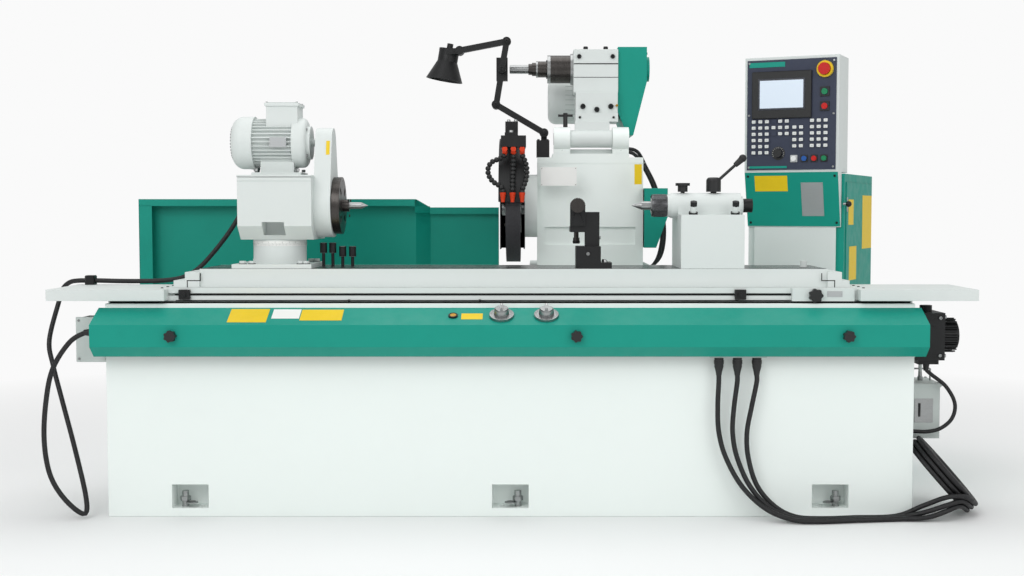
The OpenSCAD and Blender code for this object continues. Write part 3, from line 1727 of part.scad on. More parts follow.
module lamp_shade()
  color(black) {
    translate([shade_at[0], shade_y, shade_at[1]])
      rotate([0, 180 + shade_lean, 0])
        rotate_extrude()
          difference() {
            shade_outline(0);
            translate([0, shade_wall])
              shade_outline(shade_wall);
          }
    translate([shade_at[0], shade_y, shade_at[1]])
      rotate([0, 180 + shade_lean, 0]) {
        cylinder(d = shade_top_d / 2, h = shade_len / 3);
        translate([0, 0, shade_len / 2])
          sphere(d = bulb_d);
        translate([0, 0, -shade_knob_h])
          cylinder(d = shade_knob_d, h = shade_knob_h + shade_wall);
      }
    difference() {
      union() {
        lamp_arm([pivot_head, pivot_head - [lug_l, 0]], lamp_back_y);
        arm_end(pivot_head, lamp_back_y);
      }
      rod_y(lamp_pin_d + 2 * run_gap, [lamp_back_y - lamp_arm_w, lamp_back_y + lamp_arm_w],
        pivot_head);
      translate([shade_at[0], shade_y, shade_at[1]])
        rotate([0, 180 + shade_lean, 0])
          translate([0, 0, shade_wall])
            cylinder(d = shade_top_d - 2 * shade_wall, h = shade_len);
    }
  }

shade_knob_d = 22;
shade_knob_h = 20;
shade_straight = 0.4;

module shade_outline(t)
  polygon([
    [0, 0], [shade_top_d / 2 - t, 0], [shade_top_d / 2 - t, shade_len * shade_straight],
    [shade_d / 2 - t, shade_len], [0, shade_len]
  ]);

// Cables. Routes of the three power cables from their glands to their coils
power_routes = [
  [[667, -232, 492], [667, -232, 466], [667, -232, 440], [664, -234, 360], [668, -236, 280],
    [690, -242, 200], [740, -256, 110], [810, -284, 45], [890, -306, 14], [970, -310, 9], [1100, -292, 9],
    [1240, -274, 9], [1320, -278, 13], [1380, -278, 31], [1425, -264, 46]],
  [[726, -232, 492], [726, -232, 466], [726, -232, 440], [716, -234, 360], [712, -236, 280],
    [726, -242, 200], [766, -254, 110], [826, -272, 45], [900, -286, 14], [980, -290, 9], [1100, -274, 9],
    [1240, -254, 9], [1320, -264, 27], [1390, -273, 52], [1437, -263, 64]],
  [[788, -232, 492], [788, -232, 466], [788, -232, 440], [772, -234, 360], [758, -236, 280],
    [762, -240, 200], [790, -248, 110], [846, -258, 45], [910, -266, 14], [990, -270, 9], [1100, -256, 9],
    [1240, -234, 9], [1320, -246, 44], [1390, -266, 76], [1444, -266, 79]]
];
motor_route = [
  [1378, -60, 483], [1378, -60, 472], [1378, -60, 461], [1400, -60, 442], [1445, -62, 405],
  [1474, -66, 350], [1466, -66, 300], [1430, -64, 266], [1385, -62, 254], [1340, -60, 255], [1300, -60, 256]
];

// Cable of the workhead motor: behind the workhead, along the wing and in a loop to the apron
table_route = [
  [-868, 75.5, 1140], [-868, 85, 1140], [-868, 95, 1140], [-872, 135, 1132], [-888, 166, 1100],
  [-920, 176, 1030], [-952, 172, 960], [-990, 164, 900], [-1035, 150, 840], [-1080, 136, 790], [-1125, 126, 762],
  [-1180, 116, 750], [-1260, 104, 747], [-1340, 88, 748], [-1400, 80, 750], [-1420, 80, 750],
  [-1450, 80, 750], [-1475, 80, 750], [-1510, 90, 744], [-1540, 104, 720], [-1554, 105, 678],
  [-1574, 60, 548], [-1548, 20, 464], [-1503, -30, 355], [-1435, -110, 201], [-1372, -200, 60],
  [-1368, -236, 16], [-1424, -245, 64], [-1469, -250, 145], [-1484, -255, 259], [-1475, -255, 387],
  [-1451, -255, 489], [-1397, -252, 572], [-1346, -250, 602],
  [-1333, -250, 602], [-1320.5, -250, 602]
];

// Coils lean on the right end of the bed: three layers, each winding inwards
coil_at = [1404, -125, 117];
coil_r = 142;
coil_step = 17.5;
coil_layer = 17;
coil_lean = 48;
coil_twist = 8;
coil_start = -45;
coil_rings = 24;
coil_along = [cos(coil_lean), 0, -sin(coil_lean)];
coil_out = [
  sin(coil_lean) * cos(coil_twist), -sin(coil_twist), cos(coil_lean) * cos(coil_twist)
];
coil_across = cross(coil_out, coil_along);

function coil_line(layer) = [
  for (i = [0:coil_turns * coil_rings])
    let (a = coil_start + 360 * i / coil_rings, r = coil_r - coil_step * i / coil_rings)
    coil_at + layer * coil_layer * coil_out + r * (cos(a) * coil_along + sin(a) * coil_across)
];

// Straight lead of a power cable into its coil
coil_lead = 10;
function coil_entry(i) =
  let (a = coil_line(i)[0], b = coil_line(i)[1], t = (b - a) / norm(b - a))
  [a - 2 * coil_lead * t, a - coil_lead * t, a];

coil_gap = min([
  for (i = [0:coil_rings], j = [coil_rings - 2:coil_rings + 2])
    norm(coil_line(0)[i] - coil_line(0)[i + j])
]) - cable_d;
echo(coil_gap = coil_gap);

module power_cables()
  color(black) {
    for (i = [0:2]) {
      line = route(concat(power_routes[i], coil_entry(i)), 2);
      tube(line, even(line, cable_d), [1, 0, 0]);
    }
    line = route(motor_route, 2);
    tube(line, even(line, motor_cable_d), [1, 0, 0]);
  }

module power_cable_coils()
  color(black)
  for (i = [0:2]) {
    line = coil_line(i);
    tube(line, even(line, cable_d), coil_out, 6);
  }

module table_cable()
  color(black) {
    line = route(table_route, 2);
    tube(line, even(line, cable_d), [1, 0, 0]);
  }

bed_casting();
levelling_screws();
apron_cover();
apron_fittings();
service_fittings();
splash_guard();
control_cabinet();
table_motor();
table_screw();
traverse_knob();
dwell_knob();
lower_table();
table_wings();
trip_dogs();
swivel_adjuster();
swivel_table();
table_clamps();
workhead_base();
tailstock_body();
steady_bracket();
workhead_casting();
workhead_motor();
belt_guard();
work_centre();
work_spindle();
quill();
retract_lever();
quill_lock();
spring_knob();
steady_front_jaw();
steady_lower_jaw();
cross_slide();
wheelhead_housing();
wheel_guard();
drive_guard();
coolant_manifold();
coolant_hoses();
grinding_wheel();
wheel_spindle();
hinge_base();
swing_holder();
spindle_cartridge();
swing_motor();
swing_cover();
internal_spindle();
swing_lock();
lamp_foot();
lamp_lower_arm();
lamp_middle_arm();
lamp_upper_arm();
lamp_shade();
control_case();
control_panel();
stop_button();
start_button();
off_button();
rotary_switch();
power_cables();
power_cable_coils();
table_cable();
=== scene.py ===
import json
import math
from itertools import product

import bmesh
import bpy
from mathutils import Matrix, Vector


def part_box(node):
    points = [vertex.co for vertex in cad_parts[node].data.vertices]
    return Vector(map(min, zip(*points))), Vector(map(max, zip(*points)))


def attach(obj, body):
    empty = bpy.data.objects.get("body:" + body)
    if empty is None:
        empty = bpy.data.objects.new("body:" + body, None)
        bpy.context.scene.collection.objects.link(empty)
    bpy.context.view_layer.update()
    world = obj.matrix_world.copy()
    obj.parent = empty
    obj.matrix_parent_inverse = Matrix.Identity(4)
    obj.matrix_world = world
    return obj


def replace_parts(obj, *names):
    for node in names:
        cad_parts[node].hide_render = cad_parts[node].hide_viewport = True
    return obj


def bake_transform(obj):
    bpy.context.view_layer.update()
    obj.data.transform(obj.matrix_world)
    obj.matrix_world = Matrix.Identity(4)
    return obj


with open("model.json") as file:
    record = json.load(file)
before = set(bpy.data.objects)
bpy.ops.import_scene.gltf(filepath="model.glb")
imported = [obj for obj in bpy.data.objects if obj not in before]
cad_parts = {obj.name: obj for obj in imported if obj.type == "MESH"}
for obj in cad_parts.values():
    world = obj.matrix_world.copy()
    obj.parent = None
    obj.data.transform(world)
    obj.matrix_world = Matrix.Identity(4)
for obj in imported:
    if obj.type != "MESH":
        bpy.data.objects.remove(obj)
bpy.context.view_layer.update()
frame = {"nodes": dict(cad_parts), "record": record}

NODES = frame["nodes"]

# Shapes are written in millimetres. Work spindle, tailstock and wheel share the height AXIS_Z
MM = 0.001
AXIS_Z = 1005
LEFT, RIGHT = (-1, 0, 0), (1, 0, 0)
FRONT, BACK = (0, -1, 0), (0, 1, 0)
DOWN, UP = (0, 0, -1), (0, 0, 1)


def into_scene(name, data):
    o = bpy.data.objects.new(name, data)
    bpy.context.scene.collection.objects.link(o)
    return o


def across_x(node):
    """Lowest and highest X of a node, in millimetres."""
    low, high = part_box(node)
    return low.x / MM, high.x / MM


def around(count, radius=1.0, first=0.0):
    """Offsets of points evenly round a circle, from an angle in degrees on."""
    for k in range(count):
        angle = math.radians(first + 360 * k / count)
        yield radius * math.cos(angle), radius * math.sin(angle)


# Camera

LENS, SENSOR, SHIFT = 47.8, 36, -0.0225
EYE = (0.080, -4.552, 0.990)
LOOKING_DOWN = 3.28


def add_camera():
    data = bpy.data.cameras.new("camera")
    data.lens = LENS
    data.sensor_width = SENSOR
    data.shift_x = SHIFT
    camera = into_scene("camera", data)
    camera.location = EYE
    camera.rotation_euler = (math.radians(90 - LOOKING_DOWN), 0, 0)
    bpy.context.scene.camera = camera


add_camera()


# Materials

RELIEF_DEPTH = 0.0006


def set_inputs(node, values):
    for key, value in values.items():
        node.inputs[key].default_value = value


def linear(hex_colour):
    """A colour written in hexadecimal, as linear values."""
    values = [int(hex_colour[i:i + 2], 16) / 255 for i in (0, 2, 4)]
    return tuple(c / 12.92 if c < 0.04045 else ((c + 0.055) / 1.055) ** 2.4 for c in values) + (1,)


def shade(colour, k):
    return tuple(min(1, c * k) for c in colour[:3]) + (1,)


def material(name, colour, rough=0.45, metal=0.0, coat=0.0, spread=0.06, scale=9.0,
             stretch=(1, 1, 1), grain=900.0, bump=0.05, grime=0.0, spec=0.5):
    """Painted, moulded or machined finish: uneven colour and gloss, a fine relief and some grime."""
    colour = linear(colour)
    m = bpy.data.materials.new(name)
    m.use_nodes = True
    nodes, links = m.node_tree.nodes, m.node_tree.links
    surface = nodes["Principled BSDF"]
    set_inputs(surface, {"Metallic": metal, "Coat Weight": coat, "Coat Roughness": 0.2,
                         "Specular IOR Level": spec})
    where = nodes.new("ShaderNodeTexCoord")
    place = nodes.new("ShaderNodeMapping")
    place.inputs["Scale"].default_value = stretch
    links.new(where.outputs["Object"], place.inputs["Vector"])

    def noise(scale, detail):
        n = nodes.new("ShaderNodeTexNoise")
        set_inputs(n, {"Scale": scale, "Detail": detail})
        links.new(place.outputs["Vector"], n.inputs["Vector"])
        return n

    def mix(factor, a, b):
        n = nodes.new("ShaderNodeMix")
        n.data_type = "RGBA"
        links.new(factor, n.inputs["Factor"])
        for value, socket in ((a, n.inputs[6]), (b, n.inputs[7])):
            if isinstance(value, tuple):
                socket.default_value = value
            else:
                links.new(value, socket)
        return n.outputs[2]

    def ranged(value, low, high, to_low, to_high):
        n = nodes.new("ShaderNodeMapRange")
        set_inputs(n, {"From Min": low, "From Max": high, "To Min": to_low, "To Max": to_high})
        links.new(value, n.inputs["Value"])
        return n.outputs["Result"]

    broad = noise(scale, 4)
    colour_out = mix(broad.outputs["Fac"], shade(colour, 1 - spread), shade(colour, 1 + spread))
    if grime:
        stain = ranged(noise(scale * 2.7, 8).outputs["Fac"], 0.56, 0.80, 0.0, grime)
        colour_out = mix(stain, colour_out, shade(colour, 0.45))
    links.new(colour_out, surface.inputs["Base Color"])
    links.new(ranged(noise(scale * 5, 3).outputs["Fac"], 0.3, 0.7, rough * 0.85, min(1, rough * 1.18)),
              surface.inputs["Roughness"])
    relief = nodes.new("ShaderNodeBump")
    set_inputs(relief, {"Strength": bump, "Distance": RELIEF_DEPTH})
    links.new(noise(grain, 2).outputs["Fac"], relief.inputs["Height"])
    links.new(relief.outputs["Normal"], surface.inputs["Normal"])
    return m


def glowing(name, colour, strength):
    m = material(name, colour, rough=0.2, spread=0.01)
    set_inputs(m.node_tree.nodes["Principled BSDF"],
               {"Emission Color": linear(colour), "Emission Strength": strength})
    return m


CASTING = material("casting_paint", "D7DDDB", 0.48, spread=0.02, scale=4, bump=0.07,
                   grime=0.04, spec=0.3)
# Lighter copy of the casting paint. On the wheelhead housing and the hinge base it is painted light,
# which brightens fronts that stand back in shade.
LIGHTENED_CASTING = material("lightened_casting_paint", "EDF4F1", 0.48, spread=0.012, scale=4, bump=0.07,
                     grime=0.02, spec=0.3)
GREEN = material("green_paint", "149281", 0.42, spread=0.05, scale=5, bump=0.07,
                 grime=0.08, spec=0.22)
GREY = material("grey_paint", "C5CDCA", 0.48, spread=0.03, scale=6, bump=0.08,
                grime=0.08, spec=0.3)
PANEL = material("panel_paint", "363C4E", 0.5, spread=0.04, scale=12, bump=0.10, spec=0.3)
BLACK_METAL = material("black_metal", "191A1B", 0.42, metal=0.35, spread=0.25, scale=30,
                       bump=0.12)
BLACK_PLASTIC = material("black_plastic", "151617", 0.48, spread=0.12, scale=40, bump=0.12)
RED = material("red_plastic", "C01712", 0.38, spread=0.06, scale=40, spec=0.3)
GREEN_PLASTIC = material("green_plastic", "0F7F52", 0.38, spread=0.06, scale=40, spec=0.3)
STEEL = material("steel", "9FA1A1", 0.30, metal=1.0, spread=0.12, scale=14,
                 stretch=(1, 14, 14), grain=500, bump=0.05)
DARK_STEEL = material("dark_steel", "4A4745", 0.30, metal=0.9, spread=0.25, scale=18,
                      stretch=(6, 1, 1), grain=400, bump=0.08, grime=0.25)
ABRASIVE = material("abrasive", "3B3B3E", 0.9, spread=0.25, scale=160, grain=1600,
                    bump=0.6)
RUBBER = material("cable_rubber", "121214", 0.55, spread=0.2, scale=22, bump=0.10)
YELLOW = material("yellow_plate", "E6C51E", 0.42, spread=0.05, scale=25, spec=0.25)
WHITE_PLATE = material("white_plate", "EDEEEB", 0.35, coat=0.3, spread=0.02, scale=25)
SILVER_PLATE = material("silver_plate", "B9BCBD", 0.34, metal=0.7, spread=0.08, scale=30,
                        stretch=(1, 1, 30))
BLUE = material("blue_plastic", "1F56A0", 0.38, spec=0.3, spread=0.06, scale=40)
WHITE_PLASTIC = material("white_plastic", "E6E7E6", 0.4, coat=0.2, spread=0.03, scale=40)
ORANGE = material("red_fitting", "D03A14", 0.42, spec=0.3, spread=0.1, scale=40)
SHADOW_GAP = material("shadow_gap", "101112", 0.9, spread=0.1, scale=20)
OILED = material("oiled_iron", "57585A", 0.28, metal=0.85, spread=0.25, scale=12,
                 stretch=(1, 8, 8), grime=0.4)
BRASS = material("brass", "B58A3C", 0.3, metal=1.0, spread=0.12, scale=30)
SCREEN = glowing("screen", "C3CEDA", 0.35)
SCREEN_DARK = material("screen_dark", "1C2230", 0.2, coat=0.5, spread=0.05, scale=20)
LAMP_WHITE = material("lamp_white", "F2F0EA", 0.4, spread=0.02, scale=20)
# The lamp is switched off: the bulb's faint glow is painted light that brightens the inside of the
# shade.
BULB = glowing("bulb_glass", "F4F2EC", 0.25)

SLOTS = {
    "casting_paint": CASTING, "green_paint": GREEN, "grey_paint": GREY, "panel_paint": PANEL,
    "black_metal": BLACK_METAL, "black_plastic": BLACK_PLASTIC, "red_plastic": RED,
    "green_plastic": GREEN_PLASTIC, "steel": STEEL, "dark_steel": DARK_STEEL,
    "abrasive": ABRASIVE, "cable_rubber": RUBBER,
}
for part in frame["record"]["subparts"]:
    for slot in NODES[part["node"]].material_slots:
        slot.material = SLOTS[part["material_slot"]]
# The lighter copy goes on the bed, and on the wheelhead housing and hinge base as painted brightening
# against the shade they stand in.
for node, paint in (("bed_casting", LIGHTENED_CASTING), ("wheelhead_housing", LIGHTENED_CASTING),
                    ("hinge_base", LIGHTENED_CASTING), ("wheel_guard", BLACK_METAL)):
    for slot in NODES[node].material_slots:
        slot.material = paint

# Edges bent by more than these angles, in degrees, are softened or shaded sharp
SOFTENED, ROUNDED = 40, 35
SHARP, TUBE_SHARP = 32, 50
WELD_GAP = 0.00002

# Width of the soft edges on the solids that stay visible
BEVELS = {
    6.0: ("workhead_casting",),
    4.0: ("bed_casting", "tailstock_body", "swing_holder"),
    3.0: ("cross_slide", "hinge_base"),
    2.5: ("steady_bracket",),
    2.0: ("control_cabinet",),
    1.5: ("lower_table", "swivel_table", "drive_guard", "table_motor", "wheel_guard"),
    1.2: ("workhead_base", "control_case", "belt_guard", "swing_cover"),
    1.0: ("splash_guard",),
    0.8: ("traverse_knob", "dwell_knob", "swivel_adjuster", "table_clamps", "trip_dogs",
          "retract_lever", "quill_lock", "workhead_motor", "swing_motor", "work_spindle",
          "lamp_foot", "lamp_lower_arm", "lamp_middle_arm", "lamp_upper_arm", "start_button",
          "off_button", "stop_button", "rotary_switch", "service_fittings",
          "coolant_manifold", "wheel_spindle", "spindle_cartridge", "internal_spindle",
          "swing_lock", "steady_front_jaw", "steady_lower_jaw", "table_wings",
          "levelling_screws"),
}


def soften(node, width):
    o = NODES[node]
    weld = o.modifiers.new("weld", "WELD")
    weld.merge_threshold = WELD_GAP
    bevel = o.modifiers.new("bevel", "BEVEL")
    bevel.width = width * MM
    bevel.segments = 2
    bevel.limit_method = "ANGLE"
    bevel.angle_limit = math.radians(SOFTENED)
    bevel.harden_normals = False
    o.modifiers.new("normals", "WEIGHTED_NORMAL")


for width, nodes in BEVELS.items():
    for node in nodes:
        soften(node, width)


# Pieces

class Piece:
    """A mesh of small solids in millimetres, in the row frame or in a frame of its own.

    x, y and z are (low, high) pairs, d is a diameter, n the number of sides and r the rounding
    of edges. A solid has the piece's own paint where it is given none.
    """

    def __init__(self, name, body, paint, at=None):
        self.name, self.body, self.materials = name, body, [paint]
        self.at = at or Matrix.Identity(4)
        self.bm = bmesh.new()

    def _keep(self, part, paint, round_off=0.0, place=None):
        """Puts a solid in its place, rounds its edges and adds it to the piece."""
        paint = paint or self.materials[0]
        if paint not in self.materials:
            self.materials.append(paint)
        if place:
            bmesh.ops.transform(part, matrix=place, verts=part.verts)
        if round_off:
            edges = [e for e in part.edges
                     if len(e.link_faces) == 2 and e.calc_face_angle() > math.radians(ROUNDED)]
            bmesh.ops.bevel(part, geom=edges, offset=round_off, segments=2, affect="EDGES",
                            clamp_overlap=True)
        for face in part.faces:
            face.material_index = self.materials.index(paint)
        bmesh.ops.transform(part, matrix=self.at, verts=part.verts)
        mesh = bpy.data.meshes.new("part")
        part.to_mesh(mesh)
        part.free()
        self.bm.from_mesh(mesh)
        bpy.data.meshes.remove(mesh)
        return self

    def box(self, x, y, z, paint=None, r=0.8):
        part = bmesh.new()
        bmesh.ops.create_cube(part, size=1)
        size = Matrix.Diagonal((x[1] - x[0], y[1] - y[0], z[1] - z[0], 1))
        mid = Matrix.Translation(((x[0] + x[1]) / 2, (y[0] + y[1]) / 2, (z[0] + z[1]) / 2))
        return self._keep(part, paint, r, mid @ size)

    def rod(self, a, b, d, paint=None, d2=None, n=32, r=0.6):
        """Rod from a to b, tapered where d2 gives another diameter at b."""
        a, b = Vector(a), Vector(b)
        part = bmesh.new()
        bmesh.ops.create_cone(part, cap_ends=True, segments=n, radius1=d / 2,
                              radius2=(d if d2 is None else d2) / 2, depth=(b - a).length)
        turn = (b - a).to_track_quat("Z", "Y").to_matrix().to_4x4()
        return self._keep(part, paint, r, Matrix.Translation((a + b) / 2) @ turn)

    def ball(self, at, d, paint=None, n=24):
        part = bmesh.new()
        bmesh.ops.create_uvsphere(part, u_segments=n, v_segments=n // 2, radius=d / 2)
        return self._keep(part, paint, place=Matrix.Translation(at))

    def ribs(self, start, end, count, radius, d, paint=None, n=8):
        """Thin rods evenly round the line from start to end, which lies along X, Y or Z."""
        along = max(range(3), key=lambda i: abs(end[i] - start[i]))
        for c, s in around(count, radius):
            off = [c, s]
            off.insert(along, 0)
            self.rod(Vector(start) + Vector(off), Vector(end) + Vector(off), d, paint, n=n, r=0)

    def lathe(self, at, axis, profile, paint=None, n=40):
        """Body of revolution: profile holds (radius, distance along the axis) pairs."""
        part = bmesh.new()
        turn = Vector(axis).to_track_quat("Z", "Y").to_matrix().to_4x4()
        rings = []
        for radius, h in profile:
            if radius < 1e-6:
                rings.append([part.verts.new((0, 0, h))])
            else:
                rings.append([part.verts.new((c, s, h)) for c, s in around(n, radius)])
        for low, high in zip(rings, rings[1:]):
            for k in range(n):
                a, b = low[k % len(low)], low[(k + 1) % len(low)]
                c, d = high[(k + 1) % len(high)], high[k % len(high)]
                corners = list(dict.fromkeys((a, b, c, d)))
                if len(corners) > 2:
                    part.faces.new(corners)
        bmesh.ops.recalc_face_normals(part, faces=part.faces)
        return self._keep(part, paint, place=Matrix.Translation(at) @ turn)

    def prism(self, outline, low, high, axes, paint=None, r=0.8):
        """Outline of 2D points pulled along a third axis. axes names the three, such as "xzy"."""
        part = bmesh.new()

        def corner(p, h):
            place = dict(zip(axes, (*p, h)))
            return part.verts.new((place["x"], place["y"], place["z"]))

        bottom = [corner(p, low) for p in outline]
        top = [corner(p, high) for p in outline]
        part.faces.new(bottom)
        part.faces.new(top)
        for k in range(len(outline)):
            j = (k + 1) % len(outline)
            part.faces.new((bottom[k], bottom[j], top[j], top[k]))
        bmesh.ops.recalc_face_normals(part, faces=part.faces)
        return self._keep(part, paint, r)

    def screw(self, at, out, d, h, paint=None):
        """Head of a socket screw on a face, pointing out of it."""
        at, out = Vector(at), Vector(out).normalized()
        head = [(0, 0), (d / 2, 0), (d / 2, h * 0.8), (d * 0.42, h + 0.5), (d * 0.26, h + 0.5),
                (d * 0.24, h * 0.4), (0, h * 0.4)]
        return self.lathe(at - out * 0.5, out, head, paint, n=20)

    def screws(self, xs, ys, zs, *head):
        """Equal screws at every crossing of the places given."""
        for at in product(xs, ys, zs):
            self.screw(at, *head)

    def done(self):
        """Closes the piece and puts it on its body."""
        mesh = bpy.data.meshes.new(self.name)
        bmesh.ops.scale(self.bm, vec=(MM, MM, MM), verts=self.bm.verts)
        for f in self.bm.faces:
            f.smooth = True
        self.bm.to_mesh(mesh)
        self.bm.free()
        mesh.set_sharp_from_angle(angle=math.radians(SHARP))
        for paint in self.materials:
            mesh.materials.append(paint)
        o = into_scene(self.name, mesh)
        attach(o, self.body)
        return o


# Frame of the cabinet and its panel, turned towards the operator
CABINET_AT, CABINET_TURN = (1155, 330, 0), -25
TURNED = Matrix.Translation(CABINET_AT) @ Matrix.Rotation(math.radians(CABINET_TURN), 4, "Z")
FACET_FRONT = (-250, 653.5)
FACET_TILT = math.atan2(47, 100)


def facet_frame(x):
    """Frame of the apron's top facet at x: X along the bed, Y up the slope, Z out of it."""
    return Matrix.Translation((x, *FACET_FRONT)) @ Matrix.Rotation(FACET_TILT, 4, "X")


# Cables

def spline_route(points, n=6):
    """The same smooth line through the points as in the part's source, in millimetres."""
    p = [Vector(q) for q in points]
    out = []
    for i in range(len(p) - 1):
        a, b, c, d = p[max(i - 1, 0)], p[i], p[i + 1], p[min(i + 2, len(p) - 1)]
        for k in range(n):
            t = k / n
            out.append(0.5 * (2 * b + (c - a) * t + (2 * a - 5 * b + 4 * c - d) * t ** 2
                              + (3 * b - a - 3 * c + d) * t ** 3))
    return out + [p[-1]]


def spaced(points, gap=9.0):
    """The line with its points evenly apart."""
    out, carried = [points[0]], 0.0
    for a, b in zip(points, points[1:]):
        length = (b - a).length
        t = gap - carried
        while t < length:
            out.append(a + (b - a) * (t / length))
            t += gap
        carried = (carried + length) % gap if length else carried
    if (out[-1] - points[-1]).length > gap / 3:
        out.append(points[-1])
    else:
        out[-1] = points[-1]
    return out


def cable_curve(name, body, points, d):
    """A round cable that rides on one body."""
    data = bpy.data.curves.new(name, "CURVE")
    data.dimensions = "3D"
    data.bevel_depth = d / 2 * MM
    data.bevel_resolution = 5
    data.use_fill_caps = True
    line = data.splines.new("POLY")
    line.points.add(len(points) - 1)
    for q, p in zip(line.points, points):
        q.co = (*(p * MM), 1)
    line.use_smooth = True
    data.materials.append(RUBBER)
    o = into_scene(name, data)
    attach(o, body)
    return o


def tube_mesh(name, points, d, sides=16):
    """A tube of quads round a line, for a cable that bends over a joint."""
    bm = bmesh.new()
    rings = []
    across = Vector(RIGHT)
    for i, p in enumerate(points):
        ahead = (points[min(i + 1, len(points) - 1)] - points[max(i - 1, 0)]).normalized()
        across = (across - ahead * across.dot(ahead)).normalized()
        up = ahead.cross(across)
        rings.append([bm.verts.new((p + across * c + up * s) * MM)
                      for c, s in around(sides, d / 2)])
    for low, high in zip(rings, rings[1:]):
        for k in range(sides):
            bm.faces.new((low[k], low[(k + 1) % sides], high[(k + 1) % sides], high[k]))
    bm.faces.new(rings[0])
    bm.faces.new(rings[-1])
    bmesh.ops.recalc_face_normals(bm, faces=bm.faces)
    mesh = bpy.data.meshes.new(name)
    for f in bm.faces:
        f.smooth = True
    bm.to_mesh(mesh)
    bm.free()
    mesh.set_sharp_from_angle(angle=math.radians(TUBE_SHARP))
    mesh.materials.append(RUBBER)
    return into_scene(name, mesh)


# The power cables leave the apron straight down, then go along the floor to their coils
OUTLETS_X = (667, 726, 788)
OUTLET_Y = -232
POWER_ROUTES = [
    [(664, -234, 360), (668, -236, 280), (690, -242, 200), (740, -256, 110), (810, -284, 45),
     (890, -306, 14), (970, -310, 9), (1100, -292, 9), (1240, -274, 9), (1320, -278, 13),
     (1380, -278, 31), (1425, -264, 46)],
    [(716, -234, 360), (712, -236, 280), (726, -242, 200), (766, -254, 110), (826, -272, 45),
     (900, -286, 14), (980, -290, 9), (1100, -274, 9), (1240, -254, 9), (1320, -264, 27),
     (1390, -273, 52), (1437, -263, 64)],
    [(772, -234, 360), (758, -236, 280), (762, -240, 200), (790, -248, 110), (846, -258, 45),
     (910, -266, 14), (990, -270, 9), (1100, -256, 9), (1240, -234, 9), (1320, -246, 44),
     (1390, -266, 76), (1444, -266, 79)],
]
MOTOR_ROUTE = [
    (1378, -60, 483), (1378, -60, 472), (1378, -60, 461), (1400, -60, 442), (1445, -62, 405),
    (1474, -66, 350), (1466, -66, 300), (1430, -64, 266), (1385, -62, 254), (1340, -60, 255),
    (1300, -60, 256),
]
TABLE_ROUTE = [
    (-868, 75.5, 1140), (-868, 85, 1140), (-868, 95, 1140), (-872, 135, 1132), (-888, 166, 1100),
    (-920, 176, 1030), (-952, 172, 960), (-990, 164, 900), (-1035, 150, 840), (-1080, 136, 790),
    (-1125, 126, 762), (-1180, 116, 750), (-1260, 104, 747), (-1340, 88, 748), (-1400, 80, 750),
    (-1420, 80, 750), (-1450, 80, 750), (-1475, 80, 750), (-1510, 90, 744), (-1540, 104, 720),
    (-1554, 105, 678), (-1574, 60, 548), (-1548, 20, 464), (-1503, -30, 355),
    (-1435, -110, 201), (-1372, -200, 60), (-1368, -236, 16), (-1424, -245, 64),
    (-1469, -250, 145), (-1484, -255, 259), (-1475, -255, 387), (-1451, -255, 489),
    (-1397, -252, 572), (-1346, -250, 602), (-1333, -250, 602), (-1320.5, -250, 602),
]
# Flat coils, one on the other, leaning against the bed's right end
COIL_AT = Vector((1404, -125, 117))
COIL_LEAD = 10
COIL_LAYER = 17
COIL_RADIUS, COIL_STEP_IN = 142, 17.5
LEAN, TWIST = math.radians(48), math.radians(8)
COIL_ALONG = Vector((math.cos(LEAN), 0, -math.sin(LEAN)))
COIL_OUT = Vector((math.sin(LEAN) * math.cos(TWIST), -math.sin(TWIST),
                   math.cos(LEAN) * math.cos(TWIST)))
COIL_ACROSS = COIL_OUT.cross(COIL_ALONG)


def coil_line(layer, turns=4, rings=24):
    """Turns of one flat coil, wound inwards."""
    out = []
    for i in range(turns * rings + 1):
        angle = math.radians(-45 + 360 * i / rings)
        radius = COIL_RADIUS - COIL_STEP_IN * i / rings
        out.append(COIL_AT + layer * COIL_LAYER * COIL_OUT
                   + radius * (math.cos(angle) * COIL_ALONG + math.sin(angle) * COIL_ACROSS))
    return out


def add_power_cables():
    for i, (x, route) in enumerate(zip(OUTLETS_X, POWER_ROUTES)):
        coil = coil_line(i)
        into = (coil[1] - coil[0]).normalized() * COIL_LEAD
        lead = spline_route([*((x, OUTLET_Y, z) for z in (492, 466, 440)), *route,
                             *(coil[0] - into * k for k in (2, 1, 0))])
        points = spaced(lead + spline_route(coil, 2)[1:])
        cable = cable_curve(f"power_cable_{i + 1}", "bed", points, 16)
        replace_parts(cable, "power_cables", "power_cable_coils")
        sleeve = Piece(f"power_cable_sleeve_{i + 1}", "bed", BLACK_PLASTIC)
        ahead = (points[-1] - points[-3]).normalized()
        sleeve.rod(points[-1] - ahead * 22, points[-1] + ahead * 2, 17.2, d2=16.6)
        end = sleeve.done()


def add_motor_cable():
    points = spaced(spline_route(MOTOR_ROUTE))
    cable = cable_curve("table_motor_cable", "bed", points, 13)
    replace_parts(cable, "power_cables")


def add_workhead_cable():
    """On the table as far as its end, then bending over to the bed."""
    points = spaced(spline_route(TABLE_ROUTE))
    cable = tube_mesh("workhead_cable", points, 16)
    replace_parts(cable, "table_cable")
    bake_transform(cable)


add_power_cables()
add_motor_cable()
add_workhead_cable()


# Bed and apron

TABLE_MOTOR_YZ = (-60, 577)
LIP_Y = (430, 433)


def add_gland(piece, at, out, radius, nut, neck, length):
    """Cable gland: a nut with a chamfer and a tapered sleeve, pointing out of a face."""
    piece.lathe(at, out, [(0, 0), (radius, 0), (radius, nut), (radius - 3, nut + 3),
                          (neck, length), (0, length)])


